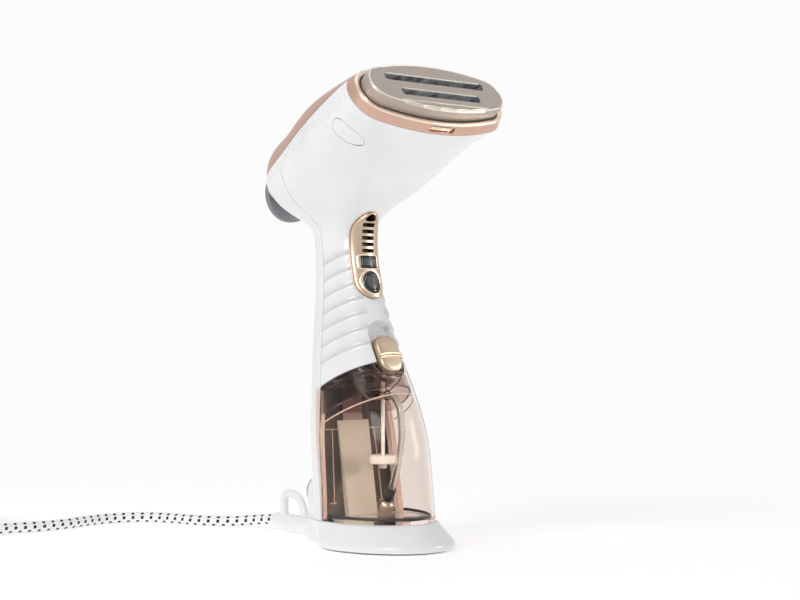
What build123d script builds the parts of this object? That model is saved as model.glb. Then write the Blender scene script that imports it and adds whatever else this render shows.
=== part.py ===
from build123d import *
import os
from math import cos, pi, radians, sin, sqrt, tan

# Handheld garment steamer. Millimetres, +Z up. The origin is the middle of the foot's underside,
# the steam face looks forward (-Y) and up, and the mains lead leaves towards +Y.

os.makedirs("parts", exist_ok=True)

# ---- driving dimensions ----
WALL = 2.4            # moulded housing wall
TANK_WALL = 2.0       # clear tank wall
GAP = 0.4             # between pieces of different bodies
JOIN = 0.05           # between pieces of one body that lie side by side

FACE_TILT = 35.0      # steam face, from vertical
FACE_Y, FACE_Z = -61.0, 305.7
FACE_Q = -1.5         # the oval's middle, below the face origin
PLATE_HALF, PLATE_RISE, PLATE_END = 57.5, 19.5, 13.5
PLATE_DEPTH, GASKET_BACK, CHAMBER_BACK, BLOCK_BACK = 7.5, 11.0, 19.0, 50.0
SLOTS = [(3.75, 43.0), (-8.0, 34.0)]   # steam slots: height on the face, half length
SLOT_TALL = 5.7
WINDOW_DEPTH, WINDOW_LONG = 12.5, 21.0
ELEMENT_R = 4.0
BEZEL_FRONT, BEZEL_BACK = 8.6, 16.0
BEZEL_HALF, BEZEL_RISE, BEZEL_END = 61.5, 23.6, 17.0
MOUTH_HALF, MOUTH_RISE, MOUTH_END = 64.0, 26.4, 20.0

SEAM_Y, SEAM_RISE = 15.0, 0.118      # seam plane: y at the foot, and y per mm of height
FOOT_TOP = 18.0
PART_Z, PART_SLOPE = 100.5, 0.47     # tank parting plane: z at y = 40, and rise per mm forward
COVER_Y, COVER_Z, COVER_SLOPE = -38.7, 306.0, 26.5   # edge of the top cover

# Handle sections: height, half width, half depth, middle y
HANDLE = [
    (FOOT_TOP, 37.0, 50.0, 6.0),
    (44.0, 36.0, 47.5, 6.4),
    (72.0, 35.0, 46.8, 9.6),
    (99.0, 31.5, 42.9, 15.0),
    (133.0, 26.7, 34.0, 24.0),
    (167.0, 21.4, 27.0, 31.0),
    (205.0, 19.3, 23.2, 35.6),
    (222.0, 21.5, 26.0, 36.6),
    (238.0, 29.0, 34.0, 38.5),
]
# Head sections behind the mouth: top y, z, bottom y, z, half width, end radius
HEAD = [
    (1.0, 314.5, -38.0, 257.0, 60.5, 25.0),
    (32.0, 304.5, -10.0, 238.5, 57.0, 32.0),
    (59.0, 292.0, 18.0, 224.0, 51.0, 33.0),
    (82.0, 279.0, 56.0, 216.0, 42.5, 28.0),
    (94.0, 263.5, 88.0, 223.0, 28.0, 17.0),
]
REAR_Y = 97.5
DIAL_Y, DIAL_Z, DIAL_R, DIAL_SHAFT_R = 99.0, 245.0, 21.0, 4.0

PANEL_TOP, PANEL_LOW, PANEL_HALF = 227.0, 167.5, 11.5
POWER_Z, POWER_HALF, POWER_RISE = 192.5, 6.6, 4.2
STEAM_Z, STEAM_HALF, STEAM_RISE = 178.6, 6.6, 7.6
POWER_FRONT, STEAM_FRONT, BUTTON_FIT = 6.6, 4.4, 0.4
PANEL_PROUD = 1.4
BAR_HEIGHTS = [200.5, 204.9, 209.3, 213.7, 218.1]
BAR_HALF, PCB_Y = 5.0, 21.0
TAB_HALF, TAB_RISE, TAB_SINK, TAB_DEPTH, TAB_Q = 6.2, 8.2, 0.2, 41.5, -9.0
LATCH_HALF, LATCH_LOW, LATCH_HIGH, LATCH_LEAN = 9.2, 118.5, 143.0, 25.0
POCKET_HIGH = 152.0

PAD_T = 1.2
SCREWS = [(-13.0, 62.0), (13.0, 62.0), (0.0, 27.0)]
FOOT_HALF, FOOT_LONG, FOOT_MID = 44.0, 57.0, -3.0
GLAND_Z, GLAND_ROOT, GLAND_TIP = 9.0, 78.0, 117.0
GLAND_R0, GLAND_R1 = 7.4, 5.0
HOOK_HALF = 2.8
REAR_BUTTON_Z, REAR_BUTTON_R, REAR_FACE_Y = 32.5, 6.6, 66.0
PUMP_LOW, PUMP_Y = 150.0, 34.0
PORT_Y, PORT_R, SOCKET_TOP = 12.0, 5.0, 124.0
FEED_Y, FEED_Z = -23.0, 269.4
CAP_DEEP = 20.0
FILL_X, FILL_Y, FILL_R = -13.5, 8.0, 6.3
BALL_Y, BALL_Z, BALL_R = -8.3, 27.0, 6.0
STEM_X, STEM_R, FLOAT_R, FLOAT_Z = 7.0, 1.3, 9.3, 58.0
LEAD_Y = 38.0

CORD_D = 7.5
COIL_X, COIL_Y, COIL_R = -207.0, 265.0, 44.0
COIL_HALF, COIL_LOW, COIL_TOP = 7.7, 1.2, 23.0
PLUG_X, PLUG_Y, PLUG_Z = -217.0, 295.0, COIL_TOP + 14.0
# Cord route on the table, from the strain relief to the coil, and from the coil to the plug
CORD = [
    (0, 117, 8.2), (-3, 133.7, 6.4), (-11, 148.7, 4.6), (-21.5, 162.1, 4.1), (-29.5, 177.1, 4.05),
    (-33.6, 193.6, 4.05), (-39.4, 209.6, 4.05), (-50.8, 222.2, 4.05), (-66.3, 229.1, 4.05),
    (-83.3, 229.6, 4.05), (-99.3, 224.6, 4.05), (-115.4, 219.4, 4.05), (-132.4, 217.2, 4.05),
    (-149.5, 217.6, 4.3), (-167, 218, 4.8), (-187.5, 217.3, 5),
]
TAIL = [
    (-217, 295, 37), (-229.5, 293, 34.8), (-239.5, 285, 31), (-245.8, 274, 26.4), (-247, 262, 21.5),
]

TILT = radians(FACE_TILT)


def save(builder, name):
    builder.part.label = name
    export_step(builder.part, f"parts/{name}.step")


def face_plane(depth, q=0.0):
    """Plane parallel to the steam face, its y direction up the face."""
    y = FACE_Y + depth * cos(TILT) + q * sin(TILT)
    z = FACE_Z - depth * sin(TILT) + q * cos(TILT)
    return Plane(origin=(0, y, z), x_dir=(1, 0, 0), z_dir=(0, -cos(TILT), sin(TILT)))


def section_plane(top_y, top_z, low_y, low_z):
    """Plane across the head through a top and a bottom point, its y direction from low to top."""
    span = sqrt((top_y - low_y) ** 2 + (top_z - low_z) ** 2)
    my, mz = (top_y - low_y) / span, (top_z - low_z) / span
    mid = (0, (top_y + low_y) / 2, (top_z + low_z) / 2)
    return Plane(origin=mid, x_dir=(1, 0, 0), z_dir=(0, -mz, my)), span / 2


def oval(half, rise, end):
    """Closed oval of four tangent arcs about the middle."""
    big = (half**2 + rise**2 - 2 * half * end) / (2 * (rise - end))
    far = big - rise
    along = half - end
    reach = sqrt(along**2 + far**2)
    tx, ty = along + end * along / reach, end * far / reach
    with BuildSketch() as outline:
        with BuildLine():
            ThreePointArc((tx, ty), (0, rise), (-tx, ty))
            ThreePointArc((-tx, ty), (-half, 0), (-tx, -ty))
            ThreePointArc((-tx, -ty), (0, -rise), (tx, -ty))
            ThreePointArc((tx, -ty), (half, 0), (tx, ty))
        make_face()
    return outline.sketch_local


def lean_plane(y, z, angle=0.0):
    """Upright plane facing forward, leaning back by the angle, its y direction up the slope."""
    a = radians(angle)
    return Plane(origin=(0, y, z), x_dir=(1, 0, 0), z_dir=(0, -cos(a), sin(a)))


def handle_solid(inset):
    """The handle and tank envelope, made smaller by the inset."""
    with BuildPart() as body:
        for z, half, depth, mid in HANDLE:
            with BuildSketch(Plane.XY.offset(z)):
                with Locations((0, mid)):
                    Ellipse(half - inset, depth - inset)
        loft()
    return body.part


def head_solid(inset):
    """The head envelope from the bezel to its rear end, made smaller by the inset."""
    with BuildPart() as body:
        with BuildSketch(face_plane(BEZEL_BACK + JOIN - inset, FACE_Q)):
            add(oval(MOUTH_HALF - inset, MOUTH_RISE - inset, MOUTH_END - inset))
        for top_y, top_z, low_y, low_z, half, end in HEAD:
            plane, rise = section_plane(top_y, top_z, low_y, low_z)
            with BuildSketch(plane):
                add(oval(half - inset, rise - inset, end - inset))
        with BuildSketch(lean_plane(REAR_Y - inset, DIAL_Z - 2)):
            add(oval(18.0 - inset, 16.5 - inset, 14.5 - inset))
        loft()
    return body.part


def half_space(origin, direction, size=500.0):
    """Big block on the side of a plane that the direction points to."""
    with BuildPart() as block:
        with BuildSketch(Plane(origin=origin, z_dir=direction)):
            Rectangle(size, size)
        extrude(amount=size)
    return block.part


def behind_seam(offset=0.0):
    return half_space((0, SEAM_Y + offset, FOOT_TOP), (0, 1, -SEAM_RISE))


def before_seam(offset=0.0):
    return half_space((0, SEAM_Y + offset, FOOT_TOP), (0, -1, SEAM_RISE))


def above_parting(offset=0.0):
    return half_space((0, 40.0, PART_Z + offset), (0, PART_SLOPE, 1))


def below_parting(offset=0.0):
    return half_space((0, 40.0, PART_Z + offset), (0, -PART_SLOPE, -1))


def cover_side(upper):
    a = radians(COVER_SLOPE)
    sign = 1 if upper else -1
    return half_space((0, COVER_Y, COVER_Z), (0, sign * sin(a), sign * cos(a)))


handle_outer = handle_solid(0)
handle_inner = handle_solid(WALL)
head_outer = head_solid(0)
head_inner = head_solid(WALL)


def latch_front(z):
    """Y of the leaning latch plane at a height."""
    return -12.4 + (z - 130.0) * tan(radians(LATCH_LEAN))


def panel_outline(grow=0.0):
    """Long rounded outline of the control panel, pointed at the top."""
    mid = (PANEL_TOP + PANEL_LOW) / 2
    top, low = PANEL_TOP - mid + grow, PANEL_LOW - mid - grow
    wide = PANEL_HALF + grow
    round_z = low + wide - 1.0
    with BuildSketch() as outline:
        with BuildLine():
            ThreePointArc((-wide + 1, round_z), (0, low), (wide - 1, round_z))
            Spline(
                (wide - 1, round_z), (wide, round_z + 14), (wide - 1.5, top - 16), (4, top - 2.5), (0, top),
                (-4, top - 2.5), (-wide + 1.5, top - 16), (-wide, round_z + 14), (-wide + 1, round_z),
            )
        make_face()
    return outline.sketch_local


def latch_block(grow, low, high, near, far):
    """Round-ended block on the leaning latch plane, from near to far behind it."""
    mid = (low + high) / 2
    tall = (high - low) / cos(radians(LATCH_LEAN)) + 2 * grow
    plane = lean_plane(latch_front(mid), mid, LATCH_LEAN)
    with BuildPart() as block:
        with BuildSketch(plane.offset(-near)):
            RectangleRounded(2 * (LATCH_HALF + grow), tall, LATCH_HALF + grow - 1.2)
        extrude(amount=near - far)
    return block.part


def panel_block(grow=0.0):
    """Block with the control panel's outline, running in from the front."""
    with BuildPart() as block:
        with BuildSketch(lean_plane(-20.0, (PANEL_TOP + PANEL_LOW) / 2)):
            add(panel_outline(grow))
        extrude(amount=-50)
    return block.part


def disc(y, z, radius, depth):
    """Round block facing forward at y, running back by the depth."""
    with BuildPart() as block:
        with BuildSketch(lean_plane(y, z)):
            Circle(radius)
        extrude(amount=-depth)
    return block.part


def upright(x, y, z, radius, height):
    """Upright round block from z."""
    with BuildPart() as block:
        with BuildSketch(Plane.XY.offset(z)):
            with Locations((x, y)):
                Circle(radius)
        extrude(amount=height)
    return block.part


def tab_plane(side):
    """Plane facing sideways through a release tab, its y direction up the steam face."""
    middle = face_plane(TAB_DEPTH, TAB_Q).origin
    centre = (side * 45.0, middle.Y, middle.Z)
    return Plane(origin=centre, x_dir=(0, cos(TILT), -sin(TILT)), z_dir=(side, 0, 0))


def tank_room():
    """Space inside the tank, open at the top."""
    with BuildPart() as room:
        add(handle_solid(TANK_WALL))
        add(before_seam(-GAP - TANK_WALL), mode=Mode.INTERSECT)
        add(half_space((0, 0, FOOT_TOP + GAP + TANK_WALL), (0, 0, 1)), mode=Mode.INTERSECT)
    return room.part


# ---- housing ----
POCKET_LOW, POCKET_DEPTH = LATCH_LOW - 0.8, 7.0
pocket_room = latch_block(3.3 + JOIN, POCKET_LOW, POCKET_HIGH, -12.0, POCKET_DEPTH + 2.0 + JOIN)
pocket = latch_block(1.3, POCKET_LOW, POCKET_HIGH, -12.0, POCKET_DEPTH)
with BuildPart() as pocket_wall:
    add(latch_block(3.3, POCKET_LOW, POCKET_HIGH, -12.0, POCKET_DEPTH + 2.0))
    add(handle_outer, mode=Mode.INTERSECT)
with BuildPart() as cap_pocket_wall:
    add(pocket_wall.part)
    add(below_parting(0), mode=Mode.INTERSECT)
with BuildPart() as seal_seat:
    add(upright(0, PORT_Y, 60.0, PORT_R + 1.0, 80.0))
    add(above_parting(-2.1), mode=Mode.INTERSECT)

with BuildPart() as front_shell:
    add(handle_outer)
    add(head_outer)
    add(handle_inner, mode=Mode.SUBTRACT)
    add(head_inner, mode=Mode.SUBTRACT)
    add(pocket_wall.part)
    add(pocket, mode=Mode.SUBTRACT)
    add(cover_side(False), mode=Mode.INTERSECT)
    add(above_parting(GAP), mode=Mode.INTERSECT)
    add(before_seam(), mode=Mode.INTERSECT)
    add(panel_block(JOIN), mode=Mode.SUBTRACT)
    for side in (-1, 1):
        with BuildSketch(tab_plane(side)):
            RectangleRounded(2 * (TAB_HALF + GAP), 2 * (TAB_RISE + GAP), TAB_HALF + GAP - 0.5)
        extrude(amount=30, both=True, mode=Mode.SUBTRACT)
save(front_shell, "front_shell")

with BuildPart() as head_cover:
    add(head_outer)
    add(head_inner, mode=Mode.SUBTRACT)
    add(cover_side(True), mode=Mode.INTERSECT)
    add(disc(60.0, DIAL_Z, DIAL_SHAFT_R + 1.0, 60.0), mode=Mode.SUBTRACT)
save(head_cover, "head_cover")

with BuildPart() as spine_shell:
    add(handle_outer)
    add(head_outer)
    add(disc(50.0, REAR_BUTTON_Z, 11.5, REAR_FACE_Y - 50.0))
    add(handle_inner, mode=Mode.SUBTRACT)
    add(head_inner, mode=Mode.SUBTRACT)
    add(cover_side(False), mode=Mode.INTERSECT)
    add(behind_seam(JOIN), mode=Mode.INTERSECT)
    add(disc(60.0, DIAL_Z, DIAL_SHAFT_R + 0.05, 60.0), mode=Mode.SUBTRACT)
    add(disc(REAR_FACE_Y - 2.0, REAR_BUTTON_Z, 9.0 + JOIN, 10.0), mode=Mode.SUBTRACT)
    add(disc(45.0, REAR_BUTTON_Z, REAR_BUTTON_R + GAP, 40.0), mode=Mode.SUBTRACT)
save(spine_shell, "spine_shell")

# White partition that closes the handle above the tank.
with BuildPart() as handle_floor:
    add(handle_solid(WALL + JOIN))
    add(above_parting(GAP), mode=Mode.INTERSECT)
    add(below_parting(GAP + 2.5), mode=Mode.INTERSECT)
    add(before_seam(WALL), mode=Mode.INTERSECT)
    add(pocket_room, mode=Mode.SUBTRACT)
    add(upright(0, PORT_Y, 60.0, PORT_R, 120.0), mode=Mode.SUBTRACT)
save(handle_floor, "handle_floor")

# Tapered white column down the middle of the spine, which carries the lead up to the handle.
with BuildPart() as spine_column:
    with BuildSketch(Plane.XY.offset(FOOT_TOP + 0.2)):
        with Locations((0, 33.0)):
            RectangleRounded(17.0, 26.0, 3.0)
    with BuildSketch(Plane.XY.offset(92.0)):
        with Locations((0, 42.0)):
            RectangleRounded(26.0, 22.0, 3.0)
    loft()
    with BuildSketch(Plane.XY.offset(FOOT_TOP)):
        with Locations((0, 38.0)):
            Circle(5.5)
    extrude(amount=90, mode=Mode.SUBTRACT)
    add(behind_seam(1.0), mode=Mode.INTERSECT)
    add(disc(36.0, REAR_BUTTON_Z, REAR_BUTTON_R + 4.0, 30.0), mode=Mode.SUBTRACT)
save(spine_column, "spine_column")

# ---- steam face ----
with BuildPart() as face_bezel:
    with BuildSketch(face_plane(BEZEL_BACK, FACE_Q)):
        add(oval(MOUTH_HALF, MOUTH_RISE, MOUTH_END))
    with BuildSketch(face_plane(BEZEL_FRONT, FACE_Q)):
        add(oval(BEZEL_HALF, BEZEL_RISE, BEZEL_END))
    loft()
    with BuildSketch(face_plane(BEZEL_BACK + 1, FACE_Q)):
        add(oval(PLATE_HALF + 1.2, PLATE_RISE + 1.2, PLATE_END + 1.2))
    extrude(amount=20, mode=Mode.SUBTRACT)
    with BuildSketch(face_plane(WINDOW_DEPTH, FACE_Q - BEZEL_RISE)):
        Rectangle(WINDOW_LONG, 12.0)
    extrude(amount=2.1, both=True, mode=Mode.SUBTRACT)
save(face_bezel, "face_bezel")

with BuildPart() as bezel_clip:
    with BuildSketch(face_plane(WINDOW_DEPTH, FACE_Q - PLATE_RISE - 3.0)):
        Rectangle(WINDOW_LONG - 1.0, 2.6)
    extrude(amount=1.6, both=True)
save(bezel_clip, "bezel_clip")

with BuildPart() as plate_gasket:
    with BuildSketch(face_plane(GASKET_BACK, FACE_Q)):
        add(oval(PLATE_HALF + 1.1, PLATE_RISE + 1.1, PLATE_END + 1.1))
        add(oval(PLATE_HALF - 4, PLATE_RISE - 4, PLATE_END - 4), mode=Mode.SUBTRACT)
    extrude(amount=GASKET_BACK - PLATE_DEPTH - JOIN)
save(plate_gasket, "plate_gasket")

with BuildPart() as steam_plate:
    with BuildSketch(face_plane(PLATE_DEPTH, FACE_Q)):
        add(oval(PLATE_HALF, PLATE_RISE, PLATE_END))
    extrude(amount=PLATE_DEPTH - 1.5)
    with BuildSketch(face_plane(1.5, FACE_Q)):
        add(oval(PLATE_HALF, PLATE_RISE, PLATE_END))
    extrude(amount=1.5, taper=40)
    with BuildSketch(face_plane(-1.0, 0)):
        for q, half in SLOTS:
            with Locations((0, q)):
                RectangleRounded(2 * half, SLOT_TALL, 1.2)
    extrude(amount=-(PLATE_DEPTH - 0.5), mode=Mode.SUBTRACT)
    with BuildSketch(face_plane(-1.0, 0)):
        for q, half in SLOTS:
            for step in range(-4, 5):
                with Locations((step * half / 5, q)):
                    Circle(1.3)
    extrude(amount=-20, mode=Mode.SUBTRACT)
save(steam_plate, "steam_plate")

# Boiler stack behind the plate: chamber lid, cast block with a U element, mica sheet.
with BuildPart() as steam_chamber:
    with BuildSketch(face_plane(CHAMBER_BACK, FACE_Q)):
        RectangleRounded(96.0, 27.0, 8.0)
    extrude(amount=CHAMBER_BACK - GASKET_BACK - JOIN)
    with BuildSketch(face_plane(CHAMBER_BACK - 3.0, FACE_Q)):
        RectangleRounded(90.0, 21.0, 6.0)
    extrude(amount=20, mode=Mode.SUBTRACT)
    with BuildSketch(face_plane(CHAMBER_BACK + 1, FACE_Q)):
        with Locations((-30, 0), (30, 0)):
            Circle(2.5)
    extrude(amount=10, mode=Mode.SUBTRACT)
save(steam_chamber, "steam_chamber")

with BuildPart() as heater_block:
    with BuildSketch(face_plane(BLOCK_BACK, FACE_Q)):
        RectangleRounded(70.0, 27.0, 8.0)
    extrude(amount=BLOCK_BACK - CHAMBER_BACK - JOIN)
    with BuildSketch(face_plane(CHAMBER_BACK, FACE_Q)):
        with Locations((-30, 0), (30, 0)):
            Circle(2.5)
        with Locations((0, 6.0), (0, -6.0)):
            Rectangle(40.0, 2.0)
    extrude(amount=-9.0, mode=Mode.SUBTRACT)
    with BuildSketch(face_plane(BLOCK_BACK, FACE_Q)):
        with Locations((-27.0, 0), (27.0, 0)):
            Circle(ELEMENT_R + JOIN)
    extrude(amount=26.0, mode=Mode.SUBTRACT)
save(heater_block, "heater_block")

with BuildPart() as heating_element:
    with BuildSketch(face_plane(BLOCK_BACK + 6.0, FACE_Q)):
        with Locations((-27.0, 0), (27.0, 0)):
            Circle(ELEMENT_R)
    extrude(amount=31.0)
save(heating_element, "heating_element")

with BuildPart() as mica_sheet:
    with BuildSketch(face_plane(BLOCK_BACK + 0.8, FACE_Q)):
        RectangleRounded(70.0, 27.0, 8.0)
        with Locations((-27.0, 0), (27.0, 0), (0, 0)):
            Circle(ELEMENT_R + 1.0, mode=Mode.SUBTRACT)
    extrude(amount=0.8 - JOIN)
save(mica_sheet, "mica_sheet")

with BuildPart() as thermostat:
    with BuildSketch(face_plane(BLOCK_BACK + 10.0, FACE_Q)):
        with Locations((12.0, -3.0)):
            Circle(7.0)
    extrude(amount=10.0 - 0.8 - JOIN)
save(thermostat, "thermostat")

with BuildPart() as thermal_fuse:
    with BuildSketch(face_plane(BLOCK_BACK + 5.0, FACE_Q)):
        with Locations((-11.0, -4.0)):
            RectangleRounded(16.0, 5.0, 2.0)
    extrude(amount=5.0 - 0.8 - JOIN)
save(thermal_fuse, "thermal_fuse")

# ---- controls ----
panel_outer = handle_solid(-PANEL_PROUD)
panel_inner = handle_solid(WALL - 0.8)
with BuildPart() as control_panel:
    add(panel_outer)
    add(panel_inner, mode=Mode.SUBTRACT)
    add(panel_block(), mode=Mode.INTERSECT)
    add(before_seam(-14.0), mode=Mode.INTERSECT)
    with BuildSketch(lean_plane(-20.0, 0)):
        for z in BAR_HEIGHTS:
            with Locations((0, z)):
                RectangleRounded(2 * BAR_HALF, 2.9, 1.0)
        with Locations((0, BAR_HEIGHTS[-1] + 6.2)):
            Ellipse(3.4, 3.1)
        with Locations((0, POWER_Z)):
            RectangleRounded(2 * (POWER_HALF + BUTTON_FIT), 2 * (POWER_RISE + BUTTON_FIT), 1.6)
        with Locations((0, STEAM_Z)):
            Ellipse(STEAM_HALF + BUTTON_FIT, STEAM_RISE + BUTTON_FIT)
    extrude(amount=-60, mode=Mode.SUBTRACT)
save(control_panel, "control_panel")

# Dark lens strip behind the panel's bars.
with BuildPart() as lens_strip:
    with BuildSketch(lean_plane(PCB_Y - 5.0, 0)):
        with Locations((0, (BAR_HEIGHTS[0] + BAR_HEIGHTS[-1] + 6.0) / 2)):
            RectangleRounded(13.0, BAR_HEIGHTS[-1] - BAR_HEIGHTS[0] + 9.0, 2.0)
    extrude(amount=-2.0)
save(lens_strip, "lens_strip")

with BuildPart() as circuit_board:
    with BuildSketch(lean_plane(PCB_Y, 0)):
        with Locations((0, 195.5)):
            RectangleRounded(20.0, 52.0, 1.0)
    extrude(amount=-1.6)
save(circuit_board, "circuit_board")


def key_switch(z, half, name):
    """Small switch on the board behind a button, its stem clear of the button's travel."""
    with BuildPart() as switch:
        with BuildSketch(lean_plane(PCB_Y - JOIN, 0)):
            with Locations((0, z)):
                RectangleRounded(2 * half, 2 * half, 0.6)
        extrude(amount=3.0)
        with BuildSketch(lean_plane(PCB_Y - 3.0, 0)):
            with Locations((0, z)):
                Circle(1.5)
        extrude(amount=0.8)
    save(switch, name)


key_switch(POWER_Z, 3.0, "power_switch")
key_switch(STEAM_Z, 3.5, "steam_switch")


def push_button(outline, z, front_y, name):
    """Domed button through the panel with a retaining flange behind it."""
    with BuildPart() as button:
        with BuildSketch(lean_plane(PCB_Y - 5.6, z)):
            add(outline)
        extrude(amount=PCB_Y - 5.6 - front_y)
        fillet(faces().sort_by(Axis.Y)[0].edges(), 1.2)
    save(button, name)


with BuildSketch() as power_outline:
    RectangleRounded(2 * POWER_HALF, 2 * POWER_RISE, 1.5)
with BuildSketch() as steam_outline:
    Ellipse(STEAM_HALF, STEAM_RISE)
push_button(power_outline.sketch, POWER_Z, POWER_FRONT, "power_button")
push_button(steam_outline.sketch, STEAM_Z, STEAM_FRONT, "steam_button")

for side, name in ((-1, "left_release_tab"), (1, "right_release_tab")):
    with BuildPart() as tab:
        with BuildSketch(tab_plane(side)):
            RectangleRounded(2 * TAB_HALF, 2 * TAB_RISE, TAB_HALF - 0.5)
        extrude(amount=30, both=True)
        add(head_solid(TAB_SINK), mode=Mode.INTERSECT)
        add(head_solid(WALL + 1.4), mode=Mode.SUBTRACT)
    save(tab, name)

with BuildPart() as rear_dial:
    add(disc(DIAL_Y, DIAL_Z, DIAL_R, 4.0))
    chamfer(faces().sort_by(Axis.Y)[-1].edges(), 1.2)
    add(disc(DIAL_Y - 1.0, DIAL_Z, 15.0, 1.5))
    add(disc(DIAL_Y - 14.0, DIAL_Z, DIAL_SHAFT_R, 15.0))
    with BuildSketch(lean_plane(DIAL_Y + 4.0, DIAL_Z)):
        Rectangle(24.0, 4.0)
    extrude(amount=-2.2)
save(rear_dial, "rear_dial")

with BuildPart() as dial_valve:
    add(disc(DIAL_Y - 32.0, DIAL_Z, 9.0, 17.0))
save(dial_valve, "dial_valve")

with BuildPart() as rear_button_ring:
    add(disc(REAR_FACE_Y - 2.0 + JOIN, REAR_BUTTON_Z, 9.0, 2.8))
    add(disc(REAR_FACE_Y - 5.0, REAR_BUTTON_Z, REAR_BUTTON_R + GAP, 10.0), mode=Mode.SUBTRACT)
save(rear_button_ring, "rear_button_ring")

with BuildPart() as rear_button:
    add(disc(REAR_FACE_Y - 9.0, REAR_BUTTON_Z, REAR_BUTTON_R, 10.5))
    fillet(faces().sort_by(Axis.Y)[-1].edges(), 1.5)
save(rear_button, "rear_button")

with BuildPart() as rear_switch:
    with BuildSketch(lean_plane(REAR_FACE_Y - 11.5, REAR_BUTTON_Z)):
        RectangleRounded(8.0, 8.0, 0.8)
    extrude(amount=4.0)
save(rear_switch, "rear_switch")

# ---- water path in the handle ----
with BuildPart() as water_pump:
    with BuildSketch(Plane.XY.offset(PUMP_LOW)):
        with Locations((0, PUMP_Y)):
            Circle(10.0)
    extrude(amount=34)
    with BuildSketch(Plane.XY.offset(PUMP_LOW - 6.0)):
        with Locations((0, PUMP_Y)):
            Circle(3.0)
    extrude(amount=7)
    with BuildSketch(Plane.XY.offset(PUMP_LOW + 34)):
        with Locations((0, PUMP_Y)):
            Circle(3.0)
    extrude(amount=6)
save(water_pump, "water_pump")


def bent_tube(points, bends, radius, bore, name):
    """Round hose along straight runs joined by tangent arcs."""
    with BuildPart() as tube:
        with BuildLine() as line:
            FilletPolyline(*points, radius=bends)
        start = line.line @ 0
        heading = line.line % 0
        with BuildSketch(Plane(origin=start, z_dir=heading)):
            Circle(radius)
            Circle(bore, mode=Mode.SUBTRACT)
        sweep()
    save(tube, name)


bent_tube(
    [(0, PUMP_Y, PUMP_LOW + 40.0 + JOIN), (0, PUMP_Y, 214.0), (0, FEED_Y, FEED_Z)],
    [12.0], 2.6, 1.3, "boiler_feed_tube",
)
bent_tube(
    [
        (0, PUMP_Y, PUMP_LOW - 6.0 - JOIN), (0, PUMP_Y, 138.0), (0, PORT_Y, 128.0),
        (0, PORT_Y, SOCKET_TOP + JOIN),
    ],
    [5.0, 5.0], 2.6, 1.3, "pump_inlet_tube",
)

with BuildPart() as tank_socket:
    add(upright(0, PORT_Y, SOCKET_TOP - 12.0, PORT_R - JOIN, 12.0))
    add(upright(0, PORT_Y, SOCKET_TOP - 20.0, 1.5, 30.0), mode=Mode.SUBTRACT)
    add(above_parting(GAP), mode=Mode.INTERSECT)
save(tank_socket, "tank_socket")

# ---- tank ----
with BuildPart() as tank_shell:
    add(handle_outer)
    add(below_parting(0), mode=Mode.INTERSECT)
    add(before_seam(-GAP), mode=Mode.INTERSECT)
    add(half_space((0, 0, FOOT_TOP + GAP), (0, 0, 1)), mode=Mode.INTERSECT)
    add(tank_room(), mode=Mode.SUBTRACT)
    add(pocket_room, mode=Mode.SUBTRACT)
save(tank_shell, "tank_shell")

with BuildPart() as cap_hollow:
    add(handle_solid(TANK_WALL + 1.8))
    add(below_parting(-3.0), mode=Mode.INTERSECT)
    add(before_seam(-GAP - TANK_WALL - 1.8), mode=Mode.INTERSECT)

with BuildPart() as tank_cap:
    add(handle_solid(TANK_WALL + JOIN))
    add(below_parting(0), mode=Mode.INTERSECT)
    add(above_parting(-CAP_DEEP), mode=Mode.INTERSECT)
    add(before_seam(-GAP - TANK_WALL - JOIN), mode=Mode.INTERSECT)
    add(cap_hollow.part, mode=Mode.SUBTRACT)
    add(cap_pocket_wall.part)
    add(pocket, mode=Mode.SUBTRACT)
    add(upright(0, PORT_Y, 60.0, 2.5, 80.0), mode=Mode.SUBTRACT)
    add(seal_seat.part, mode=Mode.SUBTRACT)
    add(upright(FILL_X, FILL_Y, 60.0, FILL_R + JOIN, 80.0), mode=Mode.SUBTRACT)
save(tank_cap, "tank_cap")

with BuildPart() as tank_seal:
    add(upright(0, PORT_Y, 60.0, PORT_R + 0.9, 80.0))
    add(below_parting(-0.1), mode=Mode.INTERSECT)
    add(above_parting(-2.1 + JOIN), mode=Mode.INTERSECT)
    add(upright(0, PORT_Y, 60.0, 2.7, 80.0), mode=Mode.SUBTRACT)
save(tank_seal, "tank_seal")

with BuildPart() as fill_plug:
    add(upright(FILL_X, FILL_Y, 60.0, FILL_R, 80.0))
    add(below_parting(-0.1), mode=Mode.INTERSECT)
    add(above_parting(-7.0), mode=Mode.INTERSECT)
save(fill_plug, "fill_plug")

ELBOW_TOP, ELBOW_LOW = 109.0, 102.0
bent_tube(
    [(0, PORT_Y, ELBOW_TOP), (0, PORT_Y, ELBOW_LOW), (0, -10.0, ELBOW_LOW)], [5.5], 3.4, 1.6, "outlet_elbow"
)

HOSE_STEP = (0, 0.444, -0.896)
CLIP_TOP = (0, BALL_Y - 14.5 * HOSE_STEP[1], BALL_Z - 14.5 * HOSE_STEP[2])
bent_tube(
    [(0, -10.0 - JOIN, ELBOW_LOW), (0, -17.5, 101.0), (0, -23.0, 93.0), (0, -25.0, 76.0), (0, -21.5, 57.0),
     (0, CLIP_TOP[1] - JOIN, CLIP_TOP[2] + JOIN)],
    [6.0, 8.0, 30.0, 40.0], 2.3, 1.5, "pickup_hose",
)

with BuildPart() as hose_connector:
    with BuildSketch(Plane(origin=CLIP_TOP, x_dir=(1, 0, 0), z_dir=HOSE_STEP)):
        Circle(3.3)
    extrude(amount=8.3)
save(hose_connector, "hose_connector")

with BuildPart() as filter_weight:
    with Locations((0, BALL_Y, BALL_Z)):
        Sphere(BALL_R)
save(filter_weight, "filter_weight")

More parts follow.
